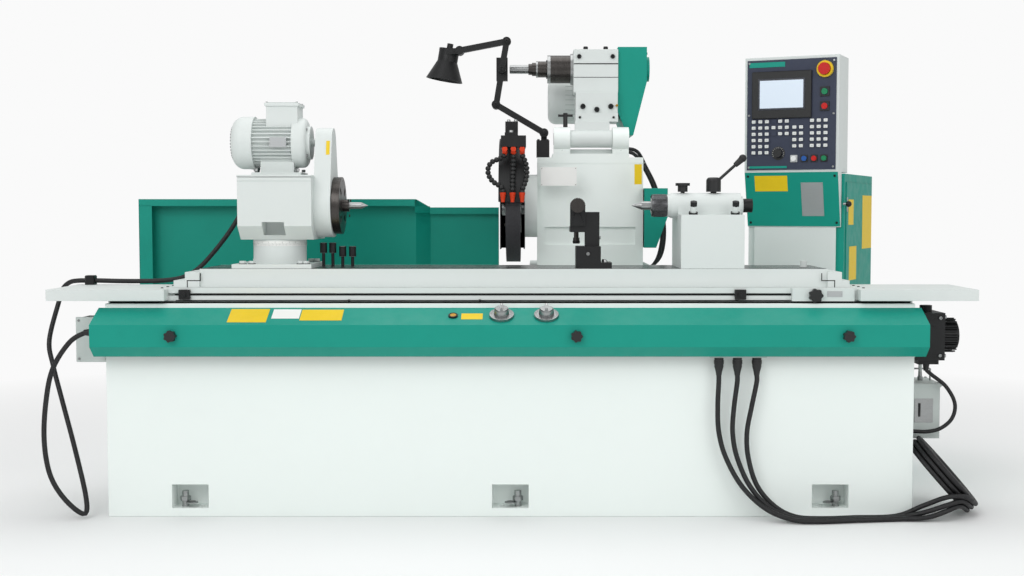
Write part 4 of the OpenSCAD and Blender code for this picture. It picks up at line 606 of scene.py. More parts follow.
def add_glands():
    glands = Piece("cable_glands", "bed", BLACK_PLASTIC)
    for x in OUTLETS_X:
        glands.lathe((x, OUTLET_Y, 521), DOWN,
                     [(0, 0), (14.7, 0), (14.7, 9), (16, 9), (16, 20), (14.7, 23), (14.7, 30),
                      (10.5, 46), (8.6, 58), (0, 58)], n=24)
    # under the table motor, on the bed's right end and on the apron's left end
    add_gland(glands, (1378, -60, 492), DOWN, 14, 10, 8, 34)
    add_gland(glands, (1296, -60, 256), RIGHT, 14, 12, 8, 34)
    add_gland(glands, (-1318, -250, 602), LEFT, 15, 11, 9, 34)
    glands.done()
    rear = Piece("workhead_gland", "workhead", BLACK_PLASTIC)
    add_gland(rear, (-868, 70, 1140), BACK, 15, 10, 8.8, 30)
    rear.done()


def add_facet_plates():
    """Bare plates, the oil sight and the dials' rings on the apron's sloping top."""
    plates = Piece("apron_plates", "bed", YELLOW, facet_frame(0))
    for x, y, paint in (((-891, -768), (-39, 46), YELLOW), ((-755, -667), (-15, 44), WHITE_PLATE),
                        ((-664, -531), (-27, 42), YELLOW), ((-154, -86), (-20, 17), YELLOW)):
        plates.box(x, y, (-0.2, 0.9), paint, r=0.3)
    plates.done()
    sight = Piece("oil_sight", "bed", BLACK_METAL, facet_frame(-180))
    sight.lathe((0, 0, 0), UP, [(0, 0.5), (15, 0), (15.2, 4), (13, 6.2), (11.5, 6.2),
                                       (11, 3.5), (0, 3.5)])
    sight.rod((0, 0, 3.4), (0, 0, 5.2), 21, BRASS)
    sight.done()
    for x, body in ((-26, "traverse_knob"), (116, "dwell_knob")):
        dial = Piece(body + "_dial", body, STEEL, facet_frame(x))
        dial.lathe((0, 0, 0), UP, [(24, 7.9), (38.4, 7.9), (38.9, 8.6), (38.4, 9.4),
                                          (33, 9.8), (24, 9.8)], n=64)
        # scale lines all round except at the front, then the grip and its pointer
        for k, (c, s) in enumerate(around(24)):
            if k != 18:
                dial.rod((29 * c, 29 * s, 9.6), (35.5 * c, 35.5 * s, 9.6), 1.1, BLACK_PLASTIC,
                         n=6, r=0)
        dial.lathe((0, 0, 9), UP, [(23.8, 0), (24.3, 2), (23.4, 14), (22, 18)], n=48)
        for c, s in around(32):
            dial.rod((23.4 * c, 23.4 * s, 10), (21.6 * c, 21.6 * s, 27), 2.4, n=8, r=0)
        dial.box((-4.6, 4.6), (-17.6, 17.6), (30.4, 38.4), r=1.6)
        dial.box((-1, 1), (6, 16.5), (38.2, 38.9), WHITE_PLATE, r=0.2)
        dial.done()


def add_bed_trim():
    """Heads of the levelling screws, the gap over the ways, screws of apron and box."""
    trim = Piece("bed_trim", "bed", STEEL)
    for x in (-1035, 0, 1035):
        trim.lathe((x, -176, 40), UP, [(0, 0), (19, 0), (19, 3), (11, 4), (11, 5)])
    trim.box((-1290, 1290), (-181, -176), (690.4, 696), SHADOW_GAP, r=0)
    trim.done()
    screws = Piece("apron_screws", "bed", BLACK_METAL)
    screws.screws((-1320,), (-255,), (560, 610), LEFT, 9, 3)
    screws.screws((1320,), (-255,), (560, 610), RIGHT, 9, 3)
    for x in (-1063, 211, 1064):
        screws.rod((x, -300, 595), (x, -303, 595), 26)
        screws.rod((x, -318, 595), (x, -321.9, 595), 14, d2=10)
    screws.done()
    lid = Piece("junction_box_lid", "bed", GREY)
    lid.box((-1404, -1296), (-174, -167), (499, 645), r=1.5)
    lid.screws((-1394, -1306), (-174,), (510, 634), FRONT, 8, 2.5, STEEL)
    lid.done()


def add_oil_unit():
    """Lid with its screws, filler cap and bail, gauge and pipe stubs of the lubricator."""
    unit = Piece("oil_unit_details", "bed", GREY)
    unit.box((1296, 1440), (-35, 135), (398, 412), r=3)
    unit.screws((1306, 1430), (-26, 126), (412,), UP, 9, 3, STEEL)
    unit.rod((1340, 20, 412), (1340, 20, 428), 34, BLACK_PLASTIC)
    unit.rod((1340, 20, 428), (1340, 20, 436), 40, BLACK_PLASTIC)
    unit.box((1350, 1412), (-32.5, -29), (280, 360), STEEL, r=1)
    unit.rod((1366, -33, 300), (1366, -33, 345), 8, BLACK_PLASTIC, n=16)
    for x in (1345, 1390):
        unit.lathe((x, 50, 412), UP, [(0, 0), (9, 0), (9, 12), (7, 14), (6, 30), (0, 30)],
                   STEEL)
    for x in (1310, 1424):
        unit.rod((x, 50, 405), (x, 50, 452), 6, STEEL, n=16)
    unit.rod((1310, 50, 452), (1424, 50, 452), 6, STEEL, n=16)
    unit.done()


def add_splash_lips():
    """Folded lips along the guard's top and left edges, in front of its sheet."""
    lips = Piece("splash_lips", "bed", GREEN)
    lips.box((-1370, -360), LIP_Y, (1005, 1030), r=0)
    lips.box((-1370, -1322), LIP_Y, (698, 1006), r=0)
    lips.prism([(-360, 430), (-310, 505), (-310, 508), (-360, 433)], 980, 1004, "xyz", r=0)
    lips.box((-310, -55), (505, 508), (976, 1000), r=0)
    lips.done()


def add_table_motor_details():
    """Screws, plate, seams, the toothed end cap and its cover of the table motor."""
    motor = Piece("table_motor_details", "bed", BLACK_METAL)
    motor.screws((1417,), (-121, 1), (514, 641), RIGHT, 13, 7, STEEL)
    motor.screws((1316, 1401), (-135,), (516, 639), FRONT, 12, 5, STEEL)
    motor.box((1330, 1390), (-138, -134), (545, 610), r=1)
    y0, z0 = TABLE_MOTOR_YZ
    motor.ribs((1419, y0, z0), (1468, y0, z0), 20, 55, 5)
    motor.rod((1466, y0, z0), (1474, y0, z0), 88)
    for z in (508, 520, 632, 644):
        motor.box((1308, 1409), (-137, -135), (z, z + 4), r=0.5)
    motor.done()


add_glands()
add_facet_plates()
add_bed_trim()
add_oil_unit()
add_splash_lips()
add_table_motor_details()


# Tables

TABLE_TOP = (799.4, 800.3)


def add_table_details():
    """Dark grooves, plate and screws of the lower table; ground top and joints of the upper."""
    lower = Piece("table_details", "table", SHADOW_GAP)
    lower.box((-1080, 906), (-171.2, -169), (697.4, 700), r=0)
    x0, x1 = across_x("lower_table")
    lower.box((max(x0, -1085) + 2, min(x1, 1100) - 2), (-170.6, -169), (715, 721), r=0)
    lower.box((1112, 1294), (-120, 120), (697, 707), BLACK_METAL, r=0)
    lower.box((-1476, -1190), (-120, 120), (697, 707), BLACK_METAL, r=0)
    lower.box((1019, 1068), (-191.6, -190), (711, 730), SILVER_PLATE, r=0.4)
    lower.screws((1022.5, 1064.5), (-191.6,), (720.5,), FRONT, 3, 0.8, STEEL)
    # screws of the two wings, and the clip that holds the cable
    lower.screws((-1135, 1150), (-130, -60, 10), (736,), UP, 9, 2.5, BLACK_METAL)
    lower.box((-1451, -1419), (63, 97), (735, 768), BLACK_METAL, r=2)
    lower.done()
    upper = Piece("swivel_table_details", "swivel_table", SHADOW_GAP)
    x0, x1 = across_x("swivel_table")
    upper.box((x0 + 2, x1 - 2), (-140, -9), TABLE_TOP, OILED, r=0)
    upper.box((x0 + 2, x1 - 2), (9, 140), TABLE_TOP, OILED, r=0)
    # stepped joints of the end clamps, inner line first, and the four spare clamp bolts
    face = min(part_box(n)[0].y for n in ("table_clamps", "swivel_table")) / MM
    depth = (face - 0.5, face + 1)
    for inner, outer in ((-1004.7, -1047.5), (1009.3, 1051.4)):
        low, high = min(inner, outer), max(inner, outer)
        upper.box((inner - 1.4, inner + 1.4), depth, (760.3, 786), r=0)
        upper.box((low - 1.4, high + 1.4), depth, (760.3, 763.1), r=0)
        upper.box((outer - 1.4, outer + 1.4), depth, (739, 763.1), r=0)
    for x, top in ((-628, 881), (-597, 881), (-564, 869), (-531, 869)):
        upper.rod((x, 0, 800.5), (x, 0, top - 33), 10.8, BLACK_METAL, n=20, r=0)
        upper.rod((x, 0, top - 34.3), (x, 0, top + 0.3), 23.8, BLACK_METAL, n=28)
    upper.done()


add_table_details()


# Workhead

HEAD_X = -773
MOTOR_Z = 1213


def add_workhead_details():
    """Cover line, dark window and plate of the head, and the scale of its round base."""
    head = Piece("workhead_details", "workhead", CASTING)
    head.box((-885, -645), (-140.5, 140.5), (1083, 1085), GREY, r=0)
    head.box((-887, -643), (-142, 142), (1096, 1104), r=2)
    head.box((-800, -740), (-60, -57), (913, 946), SHADOW_GAP, r=0)
    head.prism([(-51.3, 1218), (-63.8, 1172), (-60.8, 1172), (-48.3, 1218)], -608, -596, "yzx",
               YELLOW, r=0)
    head.done()
    base = Piece("workhead_grading", "swivel_table", WHITE_PLATE)
    base.lathe((HEAD_X, 0, 872), UP, [(87.6, 0), (88.4, 0.6), (88.4, 16), (87.6, 16.6)],
               n=96)
    for k, (c, s) in enumerate(around(120, 88.1)):
        top = 887 if k % 5 == 0 else 881
        base.rod((HEAD_X + c, s, 873.5), (HEAD_X + c, s, top), 0.9, BLACK_PLASTIC, n=6, r=0)
    for x in (-875, -845, -686, -668):
        for y in (-112, 104):
            base.rod((x, y, 813.6), (x, y, 816), 26, BLACK_METAL)
    base.done()


def add_workhead_motor():
    """Cowl grille, terminal lid, feet bolts and nameplate of the workhead motor."""
    motor = Piece("workhead_motor_details", "workhead", GREY)
    for radius in (20, 32, 44, 56):
        motor.ribs((-923.8, 0, MOTOR_Z), (-921, 0, MOTOR_Z), int(radius * 0.6), radius, 6.5,
                   BLACK_METAL, n=10)
    motor.rod((-924.5, 0, MOTOR_Z), (-921, 0, MOTOR_Z), 20)
    motor.box((-803, -699), (-58, 58), (1333, 1344), r=2.5)
    motor.screws((-803, -704), (-51, 51), (1344,), UP, 7, 2.5, STEEL)
    motor.box((-790, -735), (-82.5, -80.4), (1196, 1228), SILVER_PLATE, r=0.3)
    for x, y in product((-840, -702), (-58, 58)):
        motor.rod((x, y, 1117), (x, y, 1126), 14, STEEL, n=6, r=0.4)
    for y, z in around(4, 62, 45):
        motor.screw((-676, y, MOTOR_Z + z), RIGHT, 10, 5, STEEL)
    motor.done()


def add_face_plate():
    """Screws of the faceplate, and the dark band on the work centre."""
    plate = Piece("face_plate_details", "work_spindle", BLACK_METAL)
    x = across_x("work_spindle")[1]
    for y, z in around(3, 34, 30):
        plate.screw((x - 1, y, AXIS_Z + z), RIGHT, 9, 3)
    plate.done()
    centre = Piece("work_centre_details", "workhead", DARK_STEEL)
    tip = across_x("work_centre")[1]
    centre.rod((tip - 96, 0, AXIS_Z), (tip - 84, 0, AXIS_Z), 23.5)
    centre.done()


add_workhead_details()
add_workhead_motor()
add_face_plate()


# Tailstock and steady rest

LOCK_LEAN = math.radians(20)
STEADY_X = 218


def add_tailstock_details():
    """Lock screws, the knurled ring on the barrel and its screws, and the lever's ball."""
    barrel = Piece("tailstock_details", "swivel_table", BLACK_METAL)
    up = Vector((0, -math.sin(LOCK_LEAN), math.cos(LOCK_LEAN)))
    for x in (600, 738):
        foot = Vector((x, -75, 975))
        barrel.rod(foot + up * 2, foot + up * 9, 30)
        barrel.rod(foot + up * 30, foot + up * 46, 24, n=6)
    barrel.lathe((469, 0, AXIS_Z), RIGHT,
                 [(30, 0), (36.2, 0), (37, 1.5), (37, 50), (36.2, 51.5)], OILED, n=64)
    barrel.ribs((474, 0, AXIS_Z), (516, 0, AXIS_Z), 48, 36.8, 2.2, OILED, n=6)
    for y, z in around(3, 29, 90):
        barrel.screw((469, y, AXIS_Z + z), LEFT, 7, 3)
    barrel.done()
    grip = Piece("lever_ball", "retract_lever", BLACK_PLASTIC)
    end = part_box("retract_lever")[1]
    grip.ball((end.x / MM - 11, 0, end.z / MM - 11), 26)
    grip.done()


def add_steady_details():
    """Screws of the steady rest and the knurls of its two jaw knobs."""
    rest = Piece("steady_details", "swivel_table", STEEL)
    rest.screws((308,), (-122, -56), (820,), UP, 15, 8)
    rest.rod((STEADY_X, -134, AXIS_Z), (STEADY_X, -131, AXIS_Z), 36, BLACK_METAL)
    rest.screw((290, -93, 900), RIGHT, 12, 5)
    rest.screw((252, -138, 848), FRONT, 12, 5)
    rest.done()
    for body, axis, count, length, d in (("steady_front_jaw", 1, 28, 10, 2.6),
                                         ("steady_lower_jaw", 2, 24, 8, 2.4)):
        low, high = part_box(body)
        start = [STEADY_X, 0, AXIS_Z]
        start[axis] = low[axis] / MM + 2
        end = list(start)
        end[axis] += length
        knob = Piece(body + "_knurl", body, BLACK_METAL)
        knob.ribs(start, end, count, (high.x - low.x) / MM / 2, d)
        knob.done()


add_tailstock_details()
add_steady_details()


# Wheelhead

WHEEL_Y = 335
HINGE_Y, HINGE_Z = 320, 1243
VALVES_X = (-24, 6, 36)
NOZZLES_X = (-30, 3, 36)
BEAD_GAP = 15.0


def add_wheelhead_leads():
    """Two leads from the housing's top, behind the green guard, down to the cross slide."""
    for i, (dx, dy) in enumerate(((0, 0), (24, 24))):
        top, y = 428 - dx, 790 + dy
        route = [(top, y, 1177), (top, y, 1200), (432, y + 2, 1216 + dx / 2),
                 (470 + dx / 2, y + 10, 1208 + dx / 2), (508 + dx / 2, y + 22, 1156),
                 (546 + dx / 2, y + 32, 1080), (574 + dx / 2, y + 38, 980),
                 (582 + dx / 2, y + 38, 890), (568 + dx / 2, y + 36, 810), (540, y + 34, 764),
                 (518, y + 34, 752), (501, y + 34, 752)]
        points = spaced(spline_route(route))
        lead = cable_curve(f"wheelhead_lead_{i + 1}", "wheelhead", points, 14)


def add_wheelhead_details():
    """Plates and cover line of the housing, filled end under the hinge, and screws."""
    head = Piece("wheelhead_details", "wheelhead", CASTING)
    low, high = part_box("wheelhead_housing")
    y, right, top = low.y / MM, high.x / MM, high.z / MM
    head.box((100, 226), (y - 0.9, y + 1), (1075, 1140), WHITE_PLATE, r=0.3)
    head.box((428, 454), (y - 0.9, y + 1), (1080, 1150), YELLOW, r=0.3)
    head.screws((104, 222), (y - 0.9,), (1079, 1136), FRONT, 3, 0.8, BLACK_METAL)
    head.box((right - 1, right + 0.5), (y, high.y / MM), (top - 22, top - 20.5), GREY, r=0)
    head.box((206, 354), (334, 345), (1187, 1207), r=1)
    head.done()
    guard = Piece("drive_guard_details", "wheelhead", BLACK_METAL)
    guard.screws(across_x("drive_guard")[1:], (280, 520, 770), (1030,), RIGHT, 9, 3)
    guard.done()
    hinge = Piece("hinge_details", "wheelhead", BLACK_METAL)
    for x in (176, 384):
        hinge.rod((x, 278, 1199), (x, 278, 1203), 1)
        hinge.screws((x - 16, x + 16), (312,), (1190,), UP, 15, 9)
    for x, end in ((147, 145.8), (413, 414.2)):
        hinge.rod((x, HINGE_Y, HINGE_Z), (end, HINGE_Y, HINGE_Z), 44, STEEL)
    hinge.done()


def add_wheel():
    """Flange screws of the wheel, and its abrasive band."""
    flange = Piece("wheel_details", "wheel", DARK_STEEL)
    for y, z in around(6, 78):
        flange.screw((-25, WHEEL_Y + y, AXIS_Z + z), LEFT, 11, 4)
    flange.done()
    band = Piece("wheel_band", "wheel", ABRASIVE)
    band.lathe((3, WHEEL_Y, AXIS_Z), RIGHT,
               [(199.7, -23), (200.0, -21.5), (200.0, 21.5), (199.7, 23)], n=128)
    band.done()


def add_coolant():
    """Ball-jointed hoses with red valves, collars and nozzle tips."""
    left = [(-24, 142, 1194), (-24, 142, 1178), (-42, 138, 1166), (-68, 134, 1156),
            (-81, 130, 1136), (-81, 126, 1115), (-72, 120, 1096), (-58, 114, 1082),
            (-43, 109, 1075), (-32, 107, 1067), (-30, 107, 1058), (-30, 107, 1049)]
    middle = [(6, 142, 1194), (6, 142, 1178), (5, 138, 1150), (4, 130, 1120), (3, 120, 1095),
              (3, 109, 1070), (3, 107, 1060), (3, 107, 1049)]
    right = [(36, 142, 1194), (36, 142, 1178), (44, 138, 1163), (51, 134, 1140), (52, 128, 1115),
             (48, 118, 1090), (40, 109, 1070), (36, 107, 1061), (36, 107, 1049)]
    hoses = Piece("coolant_hose_links", "wheelhead", BLACK_PLASTIC)
    for route in (left, middle, right):
        points = spaced(spline_route(route), BEAD_GAP)
        for i, (a, b) in enumerate(zip(points, points[1:])):
            hoses.lathe(a, (b - a).normalized(),
                        [(0, -1.5), (6.8, -1.5), (8.6, 0.6), (9.5, 4.4), (9.2, 7.2), (7.6, 10.2),
                         (4.9, 12.2), (4.9, 16), (0, 16)],
                        ORANGE if i == 0 else BLACK_PLASTIC, n=18)
    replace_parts(hoses.done(), "coolant_hoses")
    fittings = Piece("coolant_fittings", "wheelhead", ORANGE)
    for x in VALVES_X:
        fittings.lathe((x, 142, 1208), DOWN,
                       [(0, 0), (11.5, 0), (11.5, 7), (10, 9), (0, 9)], BLACK_METAL, n=24)
        fittings.rod((x, 142, 1199), (x, 126, 1199), 9, n=16)
        fittings.rod((x, 130, 1199), (x, 122, 1199), 19, n=20)
    for x in NOZZLES_X:
        fittings.lathe((x, 107, 1050), DOWN,
                       [(0, 0), (10.4, 0), (10.4, 6), (9.6, 8), (6.6, 28), (6.2, 33), (3.6, 33),
                        (3.6, 30), (0, 30)], n=24)
    fittings.screws((-12, 12), (240,), (1299,), UP, 12, 8, STEEL)
    fittings.screw((-2, 140, 1256), UP, 14, 8, STEEL)
    fittings.done()


add_wheelhead_leads()
add_wheelhead_details()
add_wheel()
add_coolant()


# Internal grinding attachment, at rest swung up behind its hinge

SPINDLE = (HINGE_Y + 105, HINGE_Z + 257)


def add_swing_details():
    """Screws, seams and collars of the holder, quill steps, belt cover and motor fins."""
    holder = Piece("swing_details", "swing", BLACK_METAL)
    front = HINGE_Y + 35
    # clamp screws, split lines and flange bolts of the holder
    holder.screws((262, 334), (HINGE_Y + 60,), (HINGE_Z + 322,), UP, 17, 12)
    holder.box((218.5, 377.5), (front - 0.8, front + 0.6), (HINGE_Z + 268.5, HINGE_Z + 271.5),
               SHADOW_GAP, r=0)
    holder.box((218.5, 377.5), (front - 0.6, front + 0.6), (HINGE_Z + 221, HINGE_Z + 223),
               SHADOW_GAP, r=0)
    holder.screws((238, 358), (front,), (HINGE_Z + 296,), FRONT, 16, 8)
    holder.screws((240, 360), (HINGE_Y,), (HINGE_Z + 77,), FRONT, 9, 4)
    for x, z in ((251, 117), (351, 117), (301, 106)):
        holder.screw((x, HINGE_Y + 20, HINGE_Z + z), FRONT, 19, 9)
    holder.rod((372, HINGE_Y + 20, HINGE_Z + 120), (372, HINGE_Y + 8, HINGE_Z + 120), 9, BRASS)
    # collars of the cartridge
    for x0, x1, width in ((208, 219, 112), (124.5, 136, 101.5), (83.5, 90, 60)):
        holder.rod((x0, *SPINDLE), (x1, *SPINDLE), width, STEEL)
    holder.lathe((56, *SPINDLE), RIGHT, [(17, 0), (20, 0), (20, 13), (24, 13), (24, 28),
                                             (17, 28), (17, 0)], DARK_STEEL)
    for y, z in around(4, 38, 45):
        holder.screw((124.5, SPINDLE[0] + y, SPINDLE[1] + z), LEFT, 9, 4)
    holder.done()
    cover = Piece("swing_cover_details", "swing", BLACK_METAL)
    cover.screws((482,), (HINGE_Y + 70, HINGE_Y + 310), (HINGE_Z + 225, HINGE_Z + 310),
                 RIGHT, 9, 3)
    cover.rod((492, *SPINDLE), (495, *SPINDLE), 40, STEEL)
    cover.done()
    quill = Piece("quill_steps", "internal_spindle", STEEL)
    quill.lathe((-12, *SPINDLE), RIGHT, [(0, -0.5), (12, -0.5), (15.8, 3), (15.8, 67), (0, 67)])
    quill.done()
    motor = Piece("swing_motor_details", "swing", GREY)
    y0, z0 = HINGE_Y + 268, HINGE_Z + 154
    motor.ribs((192, y0, z0), (366, y0, z0), 28, 81, 5.5)
    motor.rod((366, y0, z0), (373.5, y0, z0), 168, n=48)
    motor.done()


add_swing_details()


# Lamp

LAMP_JOINTS = {
    "lamp_foot": (112, 1265, 24), "lamp_lower_arm": (-59, 1365, 22),
    "lamp_middle_arm": (-38, 1492, 22), "lamp_upper_arm": (-21, 1588, 22),
}
SHADE_FRAME = Matrix.Translation((-227, 372, 1566)) @ Matrix.Rotation(math.radians(190), 4, "Y")


def add_lamp_details():
    """Joint screws, base screws, and the shade's lining, socket, bulb and rim."""
    for body, (x, z, width) in LAMP_JOINTS.items():
        joint = Piece(body + "_screw", body, BLACK_METAL)
        joint.rod((x, 311.2, z), (x, 306, z), width)
        joint.screw((x, 306, z), FRONT, 14, 5)
        joint.done()
    base = Piece("lamp_base_screws", "lamp_foot", BLACK_METAL)
    base.screws((92, 124), (309,), (1238,), UP, 9, 4)
    base.done()
    inner = Piece("lamp_reflector", "lamp_shade", LAMP_WHITE, SHADE_FRAME)
    for paint, sides, profile in (
            (LAMP_WHITE, 64, [(0, 3), (32.5, 3), (33.2, 44), (62.8, 109), (64.9, 111.6),
                              (63.8, 109.6), (33.7, 44.6), (33.2, 2.6), (0, 2.6)]),
            (BLACK_PLASTIC, 32, [(0, 3), (18.5, 3), (19.5, 36), (0, 36)]),
            (BULB, 40, [(0, 34), (15, 34), (18, 42), (28.6, 58), (27, 72), (18, 82), (0, 85.5)]),
            (BLACK_METAL, 48, [(36.6, -0.4), (36.6, 8), (35.6, 9)])):
        inner.lathe((0, 0, 0), UP, profile, paint, n=sides)
    inner.done()


add_lamp_details()


# Operator panel, in the cabinet's own frame: X across, Y into the panel, Z up

KEY_STEP, KEY_RISE = 24.5, 22.5
KEY_BLOCKS = ((-308, 1192, 3, 6), (-234, 1260, 3, 3), (-157, 1215, 2, 4), (-93, 1215, 3, 5))
NO_KEYS = ((-234, 1260), (-234, 1305))
ROTARY = (-208, 1196)
ROTARY_STEP = math.radians(20)


def add_panel_details():
    """Stripes, screen, keys, buttons, switch scale and screws of the panel's front."""
    panel = Piece("panel_details", "bed", BLACK_PLASTIC, TURNED)
    panel.box((-318, -186), (-5.2, -3.8), (1508, 1526), GREEN, r=0.3)
    panel.box((-318, -176), (-5.2, -3.8), (1142, 1150), GREEN, r=0.3)
    panel.box((-306, -86), (-13.5, -9.5), (1322, 1492), r=2.2)
    panel.box((-283, -109), (-14.6, -13), (1352, 1466), SCREEN_DARK, r=0.8)
    panel.box((-276, -116), (-15.2, -14.2), (1359, 1459), SCREEN, r=0.4)
    # keys, each with a grey mark
    for left, low, columns, rows in KEY_BLOCKS:
        for i in range(columns):
            for j in range(rows):
                x, z = left + KEY_STEP * i, low + KEY_RISE * j
                if (x, z) in NO_KEYS:
                    continue
                panel.box((x + 1, x + 16), (-9.2, -6.8), (z + 1, z + 13), WHITE_PLASTIC, r=1.4)
                panel.box((x + 5, x + 12), (-9.5, -9.1), (z + 5.6, z + 8.2), GREY, r=0.2)
    # the stop button's ring, and the bezels of start and off
    panel.lathe((-40, -4, 1494), FRONT,
                [(22, 0), (30.4, 0), (30.4, 7.6), (28.5, 9), (22, 9), (22, 0)], YELLOW, n=48)
    for z in (1414, 1362):
        for x in ((-57, -51.6), (-28.4, -23)):
            panel.box(x, (-8.6, -4), (z - 17, z + 17), r=0.6)
        for bar in ((z + 12, z + 17), (z - 17, z - 12)):
            panel.box((-52, -28), (-8.6, -4), bar, r=0.6)
    # lower row of caps
    for x, cap in ((-150, WHITE_PLASTIC), (-112, BLUE), (-76, RED), (-40, GREEN_PLASTIC)):
        bezel = SILVER_PLATE if cap == WHITE_PLASTIC else BLACK_PLASTIC
        panel.box((x - 13, x + 13), (-7.5, -3.8), (1163, 1189), bezel, r=1.2)
        panel.rod((x, -7, 1176), (x, -14, 1176), 19, cap)
    # scale of the rotary switch
    x0, z0 = ROTARY
    panel.lathe((x0, -4, z0), FRONT, [(16.5, 0), (24.5, 0), (24.5, 1.6), (16.5, 1.6)], n=48)
    for k in range(-6, 7):
        s, c = math.sin(k * ROTARY_STEP), math.cos(k * ROTARY_STEP)
        panel.rod((x0 + 18 * s, -5.8, z0 + 18 * c), (x0 + 23 * s, -5.8, z0 + 23 * c), 1,
                  WHITE_PLASTIC, n=6, r=0)
    panel.screws((-318, -8), (-4,), (1146, 1335, 1524), FRONT, 8, 2.2, STEEL)
    panel.done()


def leaning_frame():
    """Frame of the case's lower front: X along it, Y out of the face, Z down it."""
    top, foot = Vector((0, 0, 1129)), Vector((0, 50, 929.5))
    down = (foot - top).normalized()
    out = Vector((0, down.z, -down.y))
    return TURNED @ Matrix((
        (1, 0, 0, 0),
        (0, out.y, down.y, top.y),
        (0, out.z, down.z, top.z),
        (0, 0, 0, 1)))


def add_case_details():
    """Green lower front of the case, the cabinet's door, latch, plates, column and knob."""
    front = Piece("case_front", "bed", GREEN, leaning_frame())
    front.box((-334, 9), (0.1, 1.8), (2, 204), r=0.6)
    front.screws((-322, -3), (1.8,), (16, 190), BACK, 9, 2.5, BLACK_METAL)
    front.box((-298, -176), (1.6, 2.6), (14, 72), YELLOW, r=0.3)
    front.box((-127, -47), (1.6, 2.8), (40, 165), SILVER_PLATE, r=0.3)
    front.screws((-124, -50), (2.8,), (43, 162), BACK, 3, 0.8, STEEL)
    front.done()
    cabinet = Piece("cabinet_details", "bed", GREEN, TURNED)
    # door on the right side with its hinges, latch and bare plates
    side = 20
    cabinet.box((side - 1, side + 3.5), (84, 536), (60, 1092), r=1.5)
    for z in (140, 1010):
        cabinet.rod((side + 3, 92, z - 26), (side + 3, 92, z + 26), 10, STEEL, n=20)
    cabinet.box((side + 3, side + 9), (500, 524), (560, 640), BLACK_METAL, r=2)
    for y, z in (((118, 203), (936, 1029)), ((364, 538), (842, 1046)), ((136, 261), (731, 856))):
        cabinet.box((side + 3, side + 4.2), y, z, YELLOW, r=0.3)
    # pale front and side of the column, the knob on the case's side and the plinth's seam
    cabinet.box((-309.5, -6.5), (48.8, 50.2), (700.5, 927.5), CASTING, r=0)
    cabinet.box((-334.5, -310.5), (59, 60.4), (700.5, 927.5), CASTING, r=0)
    cabinet.rod((side, 45, 1012), (side + 14, 45, 1012), 10, STEEL)
    cabinet.ball((side + 19, 45, 1012), 22, BLACK_METAL)
    cabinet.box((-336, 21), (59, 561), (80, 83), SHADOW_GAP, r=0)
    cabinet.done()


add_panel_details()
add_case_details()


# Stage, light and view

SURROUND, AMBIENT = "FAFAFA", 0.62
FLOOR_SIZE, FLOOR_DROP = 30, 0.0005
FADE_FROM, FADE_TO = 2.0, 4.5
LIGHTS = (
    ("key", (-2.2, -4.4, 3.8), (0, 0, 0.7), 3.2, 95),
    ("fill", (3.2, -4.0, 2.6), (0.2, 0, 0.7), 3.0, 45),
    ("top", (0.2, 0.8, 4.6), (0.2, 0.2, 0), 3.6, 70),
)


def change_where_seen(tree, output, usual, seen, operation, first, second):
    """Shader that goes over from the usual one to the seen one by a factor of two values."""
    factor = tree.nodes.new("ShaderNodeMath")
    factor.operation = operation
    blend = tree.nodes.new("ShaderNodeMixShader")
    for start, end in ((first, factor.inputs[0]), (second, factor.inputs[1]),
                       (factor.outputs[0], blend.inputs["Fac"]),
                       (usual.outputs[0], blend.inputs[1]), (seen.outputs[0], blend.inputs[2]),
                       (blend.outputs[0], tree.nodes[output].inputs["Surface"])):
        tree.links.new(start, end)


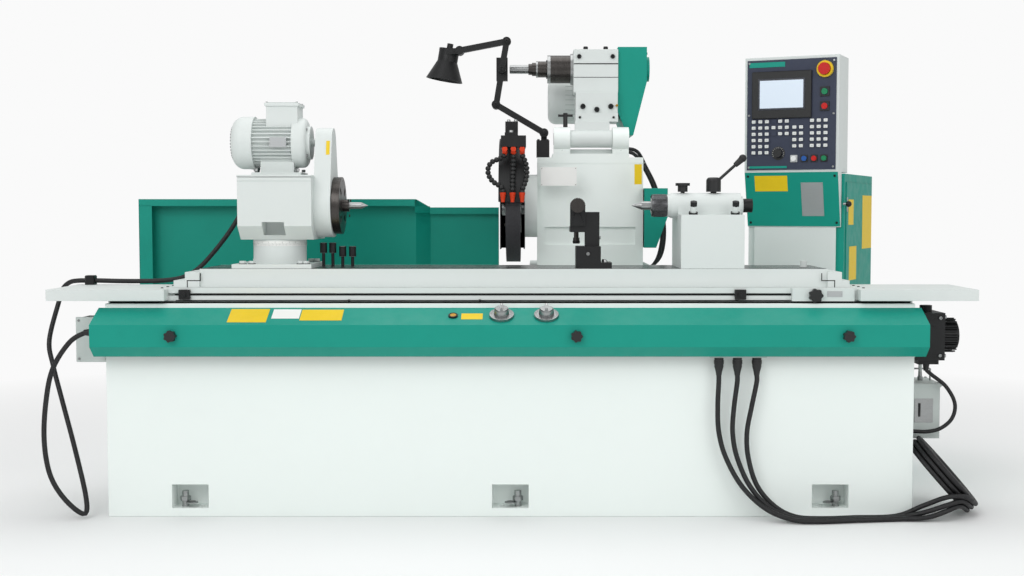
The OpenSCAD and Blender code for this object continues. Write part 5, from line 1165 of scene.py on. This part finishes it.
def floor_material():
    """Pale floor that goes over into the white surround with distance from the object."""
    m = bpy.data.materials.new("pale_floor")
    m.use_nodes = True
    nodes, links = m.node_tree.nodes, m.node_tree.links
    surface = nodes["Principled BSDF"]
    set_inputs(surface, {"Base Color": linear("F1F2F2"), "Roughness": 0.85,
                         "Specular IOR Level": 0.1})
    where = nodes.new("ShaderNodeTexCoord")
    far = nodes.new("ShaderNodeVectorMath")
    far.operation = "LENGTH"
    links.new(where.outputs["Object"], far.inputs[0])
    ramp = nodes.new("ShaderNodeMapRange")
    set_inputs(ramp, {"From Min": FADE_FROM, "From Max": FADE_TO})
    links.new(far.outputs["Value"], ramp.inputs["Value"])
    glow = nodes.new("ShaderNodeEmission")
    set_inputs(glow, {"Color": linear(SURROUND)})
    path = nodes.new("ShaderNodeLightPath")
    change_where_seen(m.node_tree, "Material Output", surface, glow, "MULTIPLY",
                      path.outputs["Is Camera Ray"], ramp.outputs["Result"])
    return m


def add_stage():
    mesh = bpy.data.meshes.new("floor")
    bm = bmesh.new()
    bmesh.ops.create_grid(bm, x_segments=1, y_segments=1, size=FLOOR_SIZE)
    bm.to_mesh(mesh)
    bm.free()
    mesh.materials.append(floor_material())
    floor = into_scene("floor", mesh)
    floor.location.z = -FLOOR_DROP


def add_light():
    """Even white light: a world that the camera sees as plain white, and three soft lamps."""
    world = bpy.data.worlds.new("world")
    bpy.context.scene.world = world
    world.use_nodes = True
    nodes = world.node_tree.nodes
    ambient = nodes["Background"]
    set_inputs(ambient, {"Color": (1, 1, 1, 1), "Strength": AMBIENT})
    white = nodes.new("ShaderNodeBackground")
    set_inputs(white, {"Color": linear(SURROUND), "Strength": 1.0})
    path = nodes.new("ShaderNodeLightPath")
    change_where_seen(world.node_tree, "World Output", ambient, white, "MAXIMUM",
                      path.outputs["Is Camera Ray"], path.outputs["Is Transmission Ray"])
    for name, at, aim, size, power in LIGHTS:
        data = bpy.data.lights.new(name, "AREA")
        data.shape = "SQUARE"
        data.size = size
        data.energy = power
        lamp = into_scene(name, data)
        lamp.location = at
        lamp.rotation_euler = (Vector(aim) - Vector(at)).to_track_quat("-Z", "Y").to_euler()


add_stage()
add_light()
bpy.context.scene.view_settings.view_transform = "Standard"
